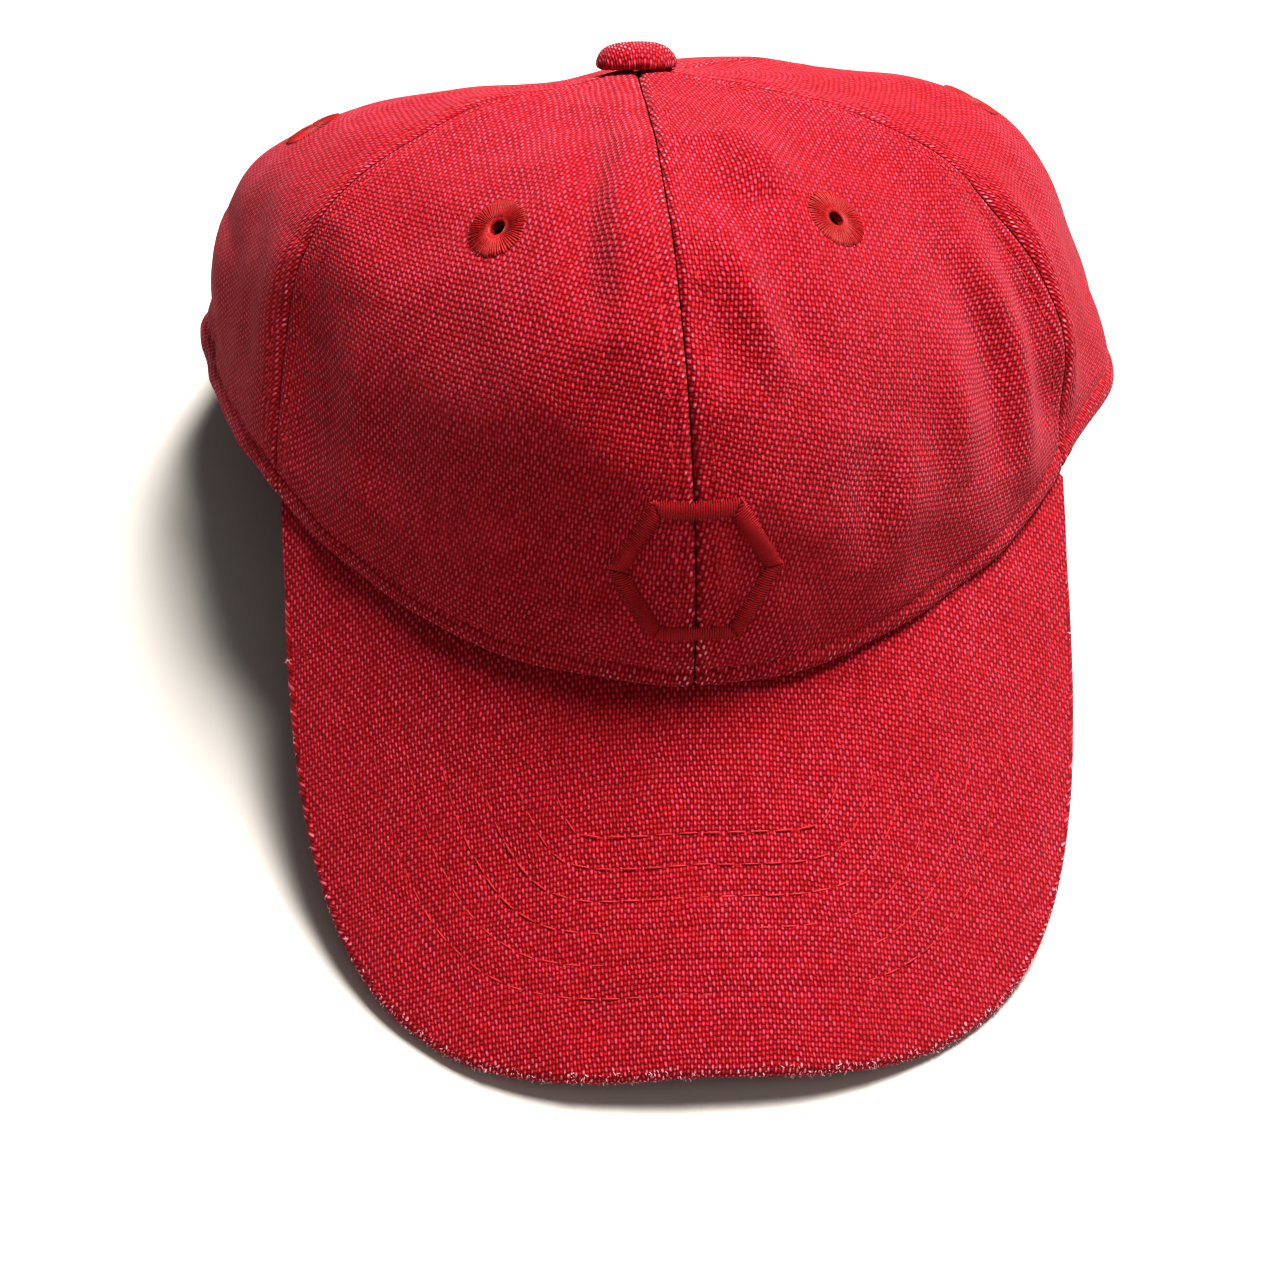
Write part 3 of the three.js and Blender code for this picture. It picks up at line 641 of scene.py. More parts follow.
def apply_modifiers(piece: bpy.types.Object) -> None:
    """Bakes a piece's modifiers into its mesh.

    Args:
        piece: The piece.
    """
    depsgraph = bpy.context.evaluated_depsgraph_get()
    mesh = bpy.data.meshes.new_from_object(piece.evaluated_get(depsgraph), depsgraph=depsgraph)
    piece.modifiers.clear()
    piece.data = mesh
    mesh.name = piece.name


@dataclass
class Sheet:
    """Piece on a grid; ``place``, ``pattern`` and ``wear`` take across and up, from 0 to 1.

    Without a pattern the UV map is the grid itself, and without wear the piece is unrubbed.
    """

    name: str
    columns: int
    rows: int
    place: Place
    thickness: float
    pattern: Place | None = None
    wear: Place | None = None
    ring: bool = False
    holes: tuple[tuple[Array, float], ...] = ()

    def build(self) -> bpy.types.Object:
        """Makes the piece as an object.

        Returns:
            The object, with its thickness, a UV map and its wear.
        """
        grid = bmesh.new()
        bmesh.ops.create_grid(grid, x_segments=self.columns, y_segments=self.rows, size=0.5)
        mesh = bpy.data.meshes.new(self.name)
        grid.to_mesh(mesh)
        grid.free()
        across, up = (coordinates(mesh)[:, :2] + 0.5).T
        points = self.place(across, up)
        set_map(mesh, self.pattern(across, up) if self.pattern else np.stack([across, up], -1))
        set_wear(mesh, self.wear(across, up) if self.wear else np.zeros(len(points)))
        set_coordinates(mesh, points * MM)
        piece = make_object(self.name, mesh)
        self.open_holes(mesh)
        if self.ring:
            self.close_ring(mesh)
        wall = piece.modifiers.new("wall", "SOLIDIFY")
        wall.thickness = self.thickness * MM
        wall.offset = -1
        apply_modifiers(piece)
        return piece

    def open_holes(self, mesh: bpy.types.Mesh) -> None:
        """Takes out the faces round each hole's centre.

        Args:
            mesh: The sheet's mesh.
        """
        if not self.holes:
            return
        shape = bmesh.new()
        shape.from_mesh(mesh)
        for centre, radius in self.holes:
            middle = Vector(centre * MM)
            inside = [f for f in shape.faces if (f.calc_center_median() - middle).length < radius * MM]
            bmesh.ops.delete(shape, geom=inside, context="FACES")
        shape.to_mesh(mesh)
        shape.free()

    def close_ring(self, mesh: bpy.types.Mesh) -> None:
        """Joins the first column to the last one.

        Args:
            mesh: The sheet's mesh.
        """
        shape = bmesh.new()
        shape.from_mesh(mesh)
        bmesh.ops.remove_doubles(shape, verts=shape.verts, dist=1e-6)
        shape.to_mesh(mesh)
        shape.free()


def cut_away(piece: bpy.types.Object, cutter: bpy.types.Object) -> None:
    """Cuts a solid out of a piece and removes the solid.

    Args:
        piece: The piece.
        cutter: The solid.
    """
    tool = piece.modifiers.new("cut", "BOOLEAN")
    tool.operation = "DIFFERENCE"
    tool.solver = "EXACT"
    tool.object = cutter
    apply_modifiers(piece)
    bpy.data.objects.remove(cutter)


def dress(piece: bpy.types.Object, material: bpy.types.Material, smooth_angle: float = 50) -> None:
    """Gives a piece its material and its shading.

    Args:
        piece: The piece.
        material: Its material.
        smooth_angle: Edges sharper than these degrees stay sharp.
    """
    piece.data.materials.clear()
    piece.data.materials.append(material)
    piece.data.shade_smooth()
    piece.data.set_sharp_from_angle(angle=math.radians(smooth_angle))


def settle(piece: bpy.types.Object, body: Body, slot: str, *nodes: str) -> None:
    """Rides a piece on its body, in the place of CAD nodes.

    Args:
        piece: The finished piece.
        body: The body that it moves with.
        slot: The record's material slot; not used.
        nodes: The CAD nodes that it stands for.
    """
    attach(piece, body.value)
    if nodes:
        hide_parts(*nodes)
    LOG.info("%s: %d faces", piece.name, len(piece.data.polygons))


def repeated(name: str, template: bpy.types.Mesh, matrices: Iterable[Array]) -> bpy.types.Object:
    """One object made of a small shape that is set down many times.

    Args:
        name: Name of the object.
        template: The shape, about its own origin.
        matrices: A 4 by 4 matrix for each copy, in millimetres.

    Returns:
        The object.
    """
    base = coordinates(template)
    shape = bmesh.new()
    for matrix in matrices:
        set_coordinates(template, base @ matrix[:3, :3].T + matrix[:3, 3])
        shape.from_mesh(template)
    set_coordinates(template, base)
    return from_bmesh(name, shape)


def stitch_template(sides: int = 6, rings: int = 5) -> bpy.types.Mesh:
    """Short thread one unit long, one thick and one high, whose ends dive into the cloth.

    Args:
        sides: Faces round the thread.
        rings: Rings along it.

    Returns:
        The thread's mesh.
    """
    shape = bmesh.new()
    bmesh.ops.create_uvsphere(shape, u_segments=sides, v_segments=rings, radius=0.5)
    bmesh.ops.rotate(shape, cent=Vector(), matrix=Matrix.Rotation(math.pi / 2, 3, "Y"), verts=shape.verts)
    for vertex in shape.verts:
        x = vertex.co.x
        vertex.co.y *= 1 + 0.5 * (1 - 4 * x * x)
        vertex.co.z += 0.35 - 2.2 * x * x
    mesh = bpy.data.meshes.new("stitch")
    shape.to_mesh(mesh)
    shape.free()
    return mesh


def resample(points: Array, normals: Array, pitch: float) -> tuple[Array, Array, Array]:
    """Evenly spaced places along a line.

    Args:
        points: Dense points of the line.
        normals: Directions out of the cloth at the points.
        pitch: Distance between places.

    Returns:
        The middle, the direction and the normal of each place.
    """
    lengths = np.concatenate([[0], np.cumsum(np.linalg.norm(np.diff(points, axis=0), axis=1))])
    count = max(1, int(lengths[-1] / pitch))
    stations = (np.arange(count) + 0.5) * lengths[-1] / count

    def at(values: Array, where: Array) -> Array:
        """Rows of values at distances along the line."""
        return np.stack([np.interp(where, lengths, values[:, k]) for k in range(3)], -1)

    ahead = at(points, stations + pitch / 4) - at(points, stations - pitch / 4)
    return at(points, stations), unit(ahead), unit(at(normals, stations))


@dataclass
class Stitcher:
    """Collects rows of stitches and makes them one piece."""

    name: str
    pitch: float = 3.1
    length: float = 2.5
    thick: float = 0.42
    seed: int = 1
    matrices: list[Array] = field(default_factory=list)

    def row(self, points: Array, normals: Array) -> None:
        """Adds a row of stitches along a line on the cloth.

        Args:
            points: Dense points of the line.
            normals: Directions out of the cloth at the points.
        """
        random = np.random.default_rng(self.seed + len(self.matrices))
        for middle, ahead, normal in zip(*resample(points, normals, self.pitch)):
            side = unit(np.cross(normal, ahead))
            run = ahead * self.length * random.uniform(0.92, 1.06)
            width = side * self.thick + ahead * random.normal(0, 0.03)
            place = middle + side * random.normal(0, 0.06)
            self.matrices.append(axes(run, width, np.cross(ahead, side) * self.thick, place))

    def build(self) -> bpy.types.Object:
        """Makes the piece."""
        return repeated(self.name, stitch_template(), self.matrices)


# ------------------------------------------------------------------ material graphs


class Graph:
    """Adds nodes to one node tree and links what feeds them."""

    def __init__(self, tree: bpy.types.NodeTree) -> None:
        """Keeps the tree that nodes are added to."""
        self.tree = tree

    def feed(self, socket: Socket, source: Source) -> None:
        """Links a socket, or sets its value.

        Args:
            socket: The input.
            source: What feeds it.
        """
        if isinstance(source, Socket):
            self.tree.links.new(source, socket)
        else:
            socket.default_value = source

    def add(
        self, kind: str, inputs: dict[str | int, Source] | None = None, **settings: object
    ) -> Node:
        """Adds a node.

        Args:
            kind: The node's type.
            inputs: What feeds its sockets, by name or by number.
            settings: Values of its properties.

        Returns:
            The node.
        """
        node = self.tree.nodes.new(kind)
        for key, value in settings.items():
            setattr(node, key, value)
        for key, source in (inputs or {}).items():
            self.feed(node.inputs[key], source)
        return node

    def math(self, operation: str, *values: Source) -> Socket:
        """Result of a Math node."""
        return self.add("ShaderNodeMath", dict(enumerate(values)), operation=operation).outputs[0]

    def vector(self, operation: str, inputs: dict[int, Source]) -> Socket:
        """Result of a Vector Math node."""
        return self.add("ShaderNodeVectorMath", inputs, operation=operation).outputs[0]

    def mix(self, share: Source, first: Source, second: Source) -> Socket:
        """Mix of two colours."""
        inputs = {0: share, 6: first, 7: second}
        return self.add("ShaderNodeMix", inputs, data_type="RGBA").outputs[2]

    def climb(self, value: Source, low: float, high: float, top: Source = 1.0) -> Socket:
        """Smooth climb from 0 at a low value to the top at a high one.

        Args:
            value: What the climb follows.
            low: Where it starts.
            high: Where it ends.
            top: Result at its end.

        Returns:
            The result's socket.
        """
        inputs = {"Value": value, "From Min": low, "From Max": high, "To Max": top}
        node = self.add("ShaderNodeMapRange", inputs, interpolation_type="SMOOTHSTEP")
        return node.outputs[0]

    def noise(self, vector: Source, scale: Source, detail: float = 3.0) -> Socket:
        """Value of a noise texture."""
        inputs = {"Vector": vector, "Scale": scale, "Detail": detail}
        return self.add("ShaderNodeTexNoise", inputs).outputs[0]

    def stretch(self, vector: Source, scale: Triple) -> Socket:
        """Vector scaled along its axes."""
        return self.add("ShaderNodeMapping", {"Vector": vector, "Scale": scale}).outputs[0]


GroupSketch = Callable[[Graph, Node, Node], None]


def shared_group(
    name: str, inputs: dict[str, float | str], outputs: dict[str, str], sketch: GroupSketch
) -> bpy.types.NodeTree:
    """Node group that several materials use, made once.

    Args:
        name: Name of the group.
        inputs: Each input with its first value, or "vector".
        outputs: Each output with its socket type.
        sketch: Fills the group between its input and output nodes.

    Returns:
        The group.
    """
    if name in bpy.data.node_groups:
        return bpy.data.node_groups[name]
    tree = bpy.data.node_groups.new(name, "ShaderNodeTree")
    for key, value in inputs.items():
        kind = "NodeSocketVector" if value == "vector" else "NodeSocketFloat"
        socket = tree.interface.new_socket(name=key, in_out="INPUT", socket_type=kind)
        if value != "vector":
            socket.default_value = value
    for key, kind in outputs.items():
        tree.interface.new_socket(name=key, in_out="OUTPUT", socket_type=kind)
    graph = Graph(tree)
    sketch(graph, graph.add("NodeGroupInput"), graph.add("NodeGroupOutput"))
    return tree


def weave_group() -> bpy.types.NodeTree:
    """Plain weave of thick yarns: its height, how far a yarn stands over, and the gaps.

    Returns:
        The group.
    """

    def sketch(graph: Graph, given: Node, put: Node) -> None:
        """Two sets of yarns that pass over and under each other in turn.

        Args:
            graph: The group's graph.
            given: The group's inputs.
            put: The group's outputs.
        """
        start = given.outputs["Vector"]
        drift = graph.add("ShaderNodeTexNoise", {"Vector": start, "Scale": 0.09, "Detail": 2.0})
        centred = graph.vector("SUBTRACT", {0: drift.outputs[1], 1: (0.5, 0.5, 0.5)})
        moved = graph.vector("SCALE", {0: centred, 3: given.outputs["Irregularity"]})
        place = graph.vector("ADD", {0: start, 1: moved})
        split = graph.add("ShaderNodeSeparateXYZ", {0: place})
        u = graph.math("DIVIDE", split.outputs[0], given.outputs["Warp Pitch"])
        v = graph.math("DIVIDE", split.outputs[1], given.outputs["Weft Pitch"])
        i, j = graph.math("FLOOR", u), graph.math("FLOOR", v)

        def yarn(along: Source, own: Source, seat: Source, under: float, share: float) -> Socket:
            """Height of one set of yarns.

            Args:
                along: Place along the yarns, in the other set's pitch.
                own: Place across the yarns, in their own pitch.
                seat: Number of the yarn.
                under: Turn of the wave, in radians.
                share: Share of the height that the wave takes.

            Returns:
                The height's socket.
            """
            middle = graph.math("SUBTRACT", graph.math("FRACT", own), 0.5)
            body = graph.math("COSINE", graph.math("MULTIPLY", middle, math.pi))
            body = graph.math("POWER", graph.math("MAXIMUM", body, 0.0), 0.6)
            phase = graph.math("SUBTRACT", graph.math("SUBTRACT", along, 0.5), seat)
            wave = graph.math("COSINE", graph.math("MULTIPLY_ADD", phase, math.pi, under))
            lift = graph.math("MULTIPLY_ADD", wave, share, 1 - share)
            return graph.math("MULTIPLY", body, lift)

        warp = yarn(v, u, i, 0.0, 0.42)
        weft = yarn(u, v, j, math.pi, 0.40)
        weft = graph.math("MULTIPLY", weft, given.outputs["Weft Lift"])
        height = graph.math("SMOOTH_MAX", warp, weft, 0.08)
        cell = graph.add("ShaderNodeCombineXYZ", {0: i, 1: j})
        odd = graph.add("ShaderNodeTexWhiteNoise", {"Vector": cell.outputs[0]}, noise_dimensions="2D")
        height = graph.math("MULTIPLY", height, graph.math("MULTIPLY_ADD", odd.outputs[0], 0.32, 0.74))
        fuzz = graph.noise(place, 3.5, 3.0)
        height = graph.math("MULTIPLY_ADD", fuzz, 0.24, graph.math("SUBTRACT", height, 0.04))
        graph.feed(put.inputs["Height"], height)
        graph.feed(put.inputs["Over"], graph.climb(height, 0.62, 1.0))
        gap = graph.math("SUBTRACT", 1.0, graph.climb(height, 0.3, 0.72))
        graph.feed(put.inputs["Gap"], gap)

    inputs = {
        "Vector": "vector", "Warp Pitch": 0.7, "Weft Pitch": 1.0, "Irregularity": 1.0, "Weft Lift": 0.8,
    }
    outputs = {"Height": "NodeSocketFloat", "Over": "NodeSocketFloat", "Gap": "NodeSocketFloat"}
    return shared_group("plain_weave", inputs, outputs, sketch)


def fading_group() -> bpy.types.NodeTree:
    """Uneven sun fade and rubbed patches, as two masks over the cloth.

    Returns:
        The group.
    """

    def sketch(graph: Graph, given: Node, put: Node) -> None:
        """Wide soft patches, and small broken ones.

        Args:
            graph: The group's graph.
            given: The group's inputs.
            put: The group's outputs.
        """
        wide = graph.noise(given.outputs["Vector"], given.outputs["Patch Scale"], 3.0)
        small = graph.noise(given.outputs["Vector"], given.outputs["Rub Scale"], 6.0)
        graph.feed(put.inputs["Fade"], graph.climb(wide, 0.35, 0.68))
        graph.feed(put.inputs["Rub"], graph.climb(small, 0.42, 0.7))

    inputs = {"Vector": "vector", "Patch Scale": 28.0, "Rub Scale": 260.0}
    outputs = {"Fade": "NodeSocketFloat", "Rub": "NodeSocketFloat"}
    return shared_group("fading", inputs, outputs, sketch)


def grain_group() -> bpy.types.NodeTree:
    """Fine moulded or pressed grain with a few scratches.

    Returns:
        The group.
    """

    def sketch(graph: Graph, given: Node, put: Node) -> None:
        """Cells for the grain, and stretched noise for the scratches.

        Args:
            graph: The group's graph.
            given: The group's inputs.
            put: The group's outputs.
        """
        start = given.outputs["Vector"]
        inputs = {"Vector": start, "Scale": given.outputs["Grain Scale"]}
        cells = graph.add("ShaderNodeTexVoronoi", inputs)
        lines = graph.noise(graph.stretch(start, (1.0, 12.0, 1.0)), 90.0, 4.0)
        graph.feed(put.inputs["Grain"], cells.outputs[0])
        graph.feed(put.inputs["Scratch"], graph.climb(lines, 0.62, 0.74))

    inputs = {"Vector": "vector", "Grain Scale": 1400.0}
    outputs = {"Grain": "NodeSocketFloat", "Scratch": "NodeSocketFloat"}
    return shared_group("pressed_grain", inputs, outputs, sketch)


@dataclass(frozen=True)
class Finish:
    """Base of every finish: a Principled surface whose constant values sit on its own sockets."""

    name: str

    def start(self) -> tuple[bpy.types.Material, Graph, Node, Socket]:
        """New material with its graph, its surface and the object's own coordinates.

        Returns:
            The material, its graph, its surface and the coordinates.
        """
        material = bpy.data.materials.new(self.name)
        material.use_nodes = True
        graph = Graph(material.node_tree)
        surface = material.node_tree.nodes["Principled BSDF"]
        return material, graph, surface, graph.add("ShaderNodeTexCoord").outputs["Object"]

    def relief(self, graph: Graph, surface: Node, height: Source, distance: float, strength: float) -> None:
        """Bump from a height, whose distance is in millimetres."""
        inputs = {"Height": height, "Distance": distance * MM, "Strength": strength}
        graph.feed(surface.inputs["Normal"], graph.add("ShaderNodeBump", inputs).outputs[0])


@dataclass(frozen=True)
class ClothFinish(Finish):
    """Dyed woven cloth: painted highlight on the raised yarns, painted shade in the gaps, fading and rubbed
    edges.
    """

    # Colour of the gaps between yarns: a painted shade where the weave's own shadow falls.
    gap_shade: Colour = (0.09, 0.0006, 0.002, 1)
    dyed: Colour = (0.48, 0.007, 0.016, 1)
    # Colour of the raised yarn tops: a painted highlight.
    raised: Colour = (0.76, 0.085, 0.165, 1)
    worn: Colour = (0.90, 0.38, 0.48, 1)
    warp_pitch: float = 0.71
    weft_pitch: float = 1.06
    weft_lift: float = 0.62
    irregularity: float = 1.9
    depth: float = 0.46
    sheen: float = 0.13
    roughness: float = 0.85

    def build(self) -> bpy.types.Material:
        """Makes the material.

        Returns:
            The material.
        """
        material, graph, surface, place = self.start()
        cloth = graph.add("ShaderNodeUVMap", uv_map="cloth").outputs[0]
        weave = graph.add("ShaderNodeGroup", node_tree=weave_group())
        graph.feed(weave.inputs["Vector"], cloth)
        for key, value in {
            "Warp Pitch": self.warp_pitch,
            "Weft Pitch": self.weft_pitch,
            "Weft Lift": self.weft_lift,
            "Irregularity": self.irregularity,
        }.items():
            graph.feed(weave.inputs[key], value)
        fading = graph.add("ShaderNodeGroup", node_tree=fading_group())
        graph.feed(fading.inputs["Vector"], place)
        fade, rub = fading.outputs["Fade"], fading.outputs["Rub"]
        over, gap = weave.outputs["Over"], weave.outputs["Gap"]
        # Share of the raised colour on the yarn tops: a painted highlight, made stronger where the uneven
        # fade patches lie.
        rubbed = graph.math("MULTIPLY", over, graph.math("MULTIPLY_ADD", fade, 0.45, 0.5))
        colour = graph.mix(rubbed, self.dyed, self.raised)
        # Painted shade: the gaps between yarns are mixed towards a near-black red.
        colour = graph.mix(graph.math("MULTIPLY", gap, 0.85), colour, self.gap_shade)
        wear = graph.add("ShaderNodeAttribute", attribute_name="wear").outputs["Fac"]
        broken = graph.math("MULTIPLY", graph.math("MULTIPLY_ADD", rub, 0.6, 0.4), over)
        pale = graph.climb(graph.math("MULTIPLY", wear, broken), 0.1, 0.85)
        graph.feed(surface.inputs["Base Color"], graph.mix(pale, colour, self.worn))
        graph.feed(surface.inputs["Roughness"], graph.math("MULTIPLY_ADD", gap, 0.12, self.roughness))
        self.relief(graph, surface, weave.outputs["Height"], self.depth, 1.0)
        surface.inputs["Sheen Weight"].default_value = self.sheen
        surface.inputs["Sheen Roughness"].default_value = 0.45
        surface.inputs["Sheen Tint"].default_value = (1.0, 0.45, 0.60, 1)
        surface.inputs["Specular IOR Level"].default_value = 0.14
        return material


@dataclass(frozen=True)
class ThreadFinish(Finish):
    """Twisted thread with a soft gloss."""

    dark: Colour = (0.30, 0.006, 0.010, 1)
    light: Colour = (0.62, 0.035, 0.045, 1)
    roughness: float = 0.5

    def build(self) -> bpy.types.Material:
        """Makes the material.

        Returns:
            The material.
        """
        material, graph, surface, place = self.start()
        strands = graph.noise(place, 2600.0, 2.0)
        patches = graph.noise(place, 160.0, 3.0)
        share = graph.math("MULTIPLY_ADD", patches, 0.5, graph.math("MULTIPLY", strands, 0.6))
        colour = graph.mix(graph.climb(share, 0.3, 0.8), self.dark, self.light)
        graph.feed(surface.inputs["Base Color"], colour)
        rough = graph.math("MULTIPLY_ADD", strands, 0.2, self.roughness - 0.1)
        graph.feed(surface.inputs["Roughness"], rough)
        self.relief(graph, surface, strands, 0.08, 0.6)
        surface.inputs["Sheen Weight"].default_value = 0.1
        surface.inputs["Sheen Roughness"].default_value = 0.35
        surface.inputs["Specular IOR Level"].default_value = 0.16
        return material


@dataclass(frozen=True)
class MetalFinish(Finish):
    """Brushed metal, dulled in patches."""

    bright: Colour = (0.72, 0.54, 0.27, 1)
    dull: Colour = (0.34, 0.22, 0.10, 1)

    def build(self) -> bpy.types.Material:
        """Makes the material.

        Returns:
            The material.
        """
        material, graph, surface, place = self.start()
        grain = graph.add("ShaderNodeGroup", node_tree=grain_group())
        graph.feed(grain.inputs["Vector"], place)
        brushed = graph.noise(graph.stretch(place, (1.0, 1.0, 30.0)), 220.0, 4.0)
        tarnish = graph.climb(graph.noise(place, 130.0, 6.0), 0.42, 0.72)
        colour = graph.mix(tarnish, self.bright, self.dull)
        graph.feed(surface.inputs["Base Color"], colour)
        rough = graph.math("MULTIPLY_ADD", tarnish, 0.25, graph.math("MULTIPLY_ADD", brushed, 0.2, 0.18))
        polish = graph.math("MULTIPLY", grain.outputs["Scratch"], 0.08)
        graph.feed(surface.inputs["Roughness"], graph.math("SUBTRACT", rough, polish))
        surface.inputs["Metallic"].default_value = 1.0
        self.relief(graph, surface, brushed, 0.03, 0.5)
        return material


@dataclass(frozen=True)
class MouldedFinish(Finish):
    """Moulded plastic with a fine grain and light scuffs."""

    base: Colour = (0.030, 0.032, 0.037, 1)
    scuffed: Colour = (0.10, 0.10, 0.11, 1)

    def build(self) -> bpy.types.Material:
        """Makes the material.

        Returns:
            The material.
        """
        material, graph, surface, place = self.start()
        grain = graph.add("ShaderNodeGroup", node_tree=grain_group())
        graph.feed(grain.inputs["Vector"], place)
        cloudy = graph.climb(graph.noise(place, 45.0, 5.0), 0.4, 0.75)
        dull = graph.math("MULTIPLY", cloudy, 0.35)
        share = graph.math("MULTIPLY_ADD", grain.outputs["Scratch"], 0.5, dull)
        graph.feed(surface.inputs["Base Color"], graph.mix(share, self.base, self.scuffed))
        graph.feed(surface.inputs["Roughness"], graph.math("MULTIPLY_ADD", cloudy, 0.18, 0.38))
        self.relief(graph, surface, grain.outputs["Grain"], 0.12, 0.45)
        return material


@dataclass(frozen=True)
class PileFinish(Finish):
    """Foam facing or short pile: matt, mottled and lightly pocked."""

    dark: Colour = (0.030, 0.031, 0.035, 1)
    light: Colour = (0.085, 0.088, 0.095, 1)
    scale: float = 900.0
    depth: float = 0.3

    def build(self) -> bpy.types.Material:
        """Makes the material.

        Returns:
            The material.
        """
        material, graph, surface, place = self.start()
        pores = graph.add("ShaderNodeTexVoronoi", {"Vector": place, "Scale": self.scale}).outputs[0]
        mottle = graph.noise(place, self.scale / 12, 4.0)
        share = graph.math("MULTIPLY_ADD", mottle, 0.6, graph.math("MULTIPLY", pores, 0.5))
        colour = graph.mix(graph.climb(share, 0.25, 0.8), self.dark, self.light)
        graph.feed(surface.inputs["Base Color"], colour)
        graph.feed(surface.inputs["Roughness"], graph.math("MULTIPLY_ADD", mottle, 0.1, 0.85))
        self.relief(graph, surface, pores, self.depth, 0.7)
        surface.inputs["Sheen Weight"].default_value = 0.2
        return material


class Wardrobe:
    """All finishes of the cap, each made once."""

    def __init__(self) -> None:
        """Makes the materials."""
        self.canvas = ClothFinish("red_canvas").build()
        # The under cover's cloth is a darker copy of the canvas: painted shade for the side of the brim
        # that faces the floor.
        self.under = ClothFinish(
            "under_canvas", dyed=(0.36, 0.008, 0.022, 1), raised=(0.52, 0.04, 0.075, 1)
        ).build()
        self.tape = ClothFinish(
            "twill_tape", warp_pitch=0.4, weft_pitch=0.5, dyed=(0.40, 0.010, 0.026, 1),
            raised=(0.55, 0.05, 0.08, 1), depth=0.16, irregularity=0.3,
        ).build()
        self.band = ClothFinish(
            "sweatband_twill", warp_pitch=0.45, weft_pitch=0.6, dyed=(0.42, 0.016, 0.035, 1),
            raised=(0.60, 0.07, 0.11, 1), depth=0.2, irregularity=0.4,
        ).build()
        self.seam_thread = ThreadFinish("seam_thread").build()
        self.satin_thread = ThreadFinish(
            "satin_thread", dark=(0.15, 0.003, 0.004, 1), light=(0.44, 0.020, 0.022, 1), roughness=0.5
        ).build()
        self.emblem_thread = ThreadFinish(
            "emblem_thread", dark=(0.24, 0.003, 0.006, 1), light=(0.44, 0.012, 0.020, 1), roughness=0.55
        ).build()
        self.fibre = ThreadFinish(
            "loose_fibre", dark=(0.75, 0.20, 0.26, 1), light=(0.95, 0.68, 0.72, 1), roughness=0.7
        ).build()
        self.brass = MetalFinish("aged_brass").build()
        self.steel = MetalFinish(
            "satin_steel", bright=(0.66, 0.67, 0.69, 1), dull=(0.36, 0.35, 0.34, 1)
        ).build()
        self.shell = MouldedFinish("shell_plastic").build()
        self.board = MouldedFinish(
            "brim_board", base=(0.72, 0.70, 0.64, 1), scuffed=(0.58, 0.56, 0.50, 1)
        ).build()
        self.foam = PileFinish("cloth_faced_foam").build()
        self.pile = PileFinish(
            "hook_and_loop", dark=(0.008, 0.008, 0.010, 1), light=(0.05, 0.05, 0.055, 1),
            scale=1500.0, depth=0.4,
        ).build()


# ------------------------------------------------------------------ crown


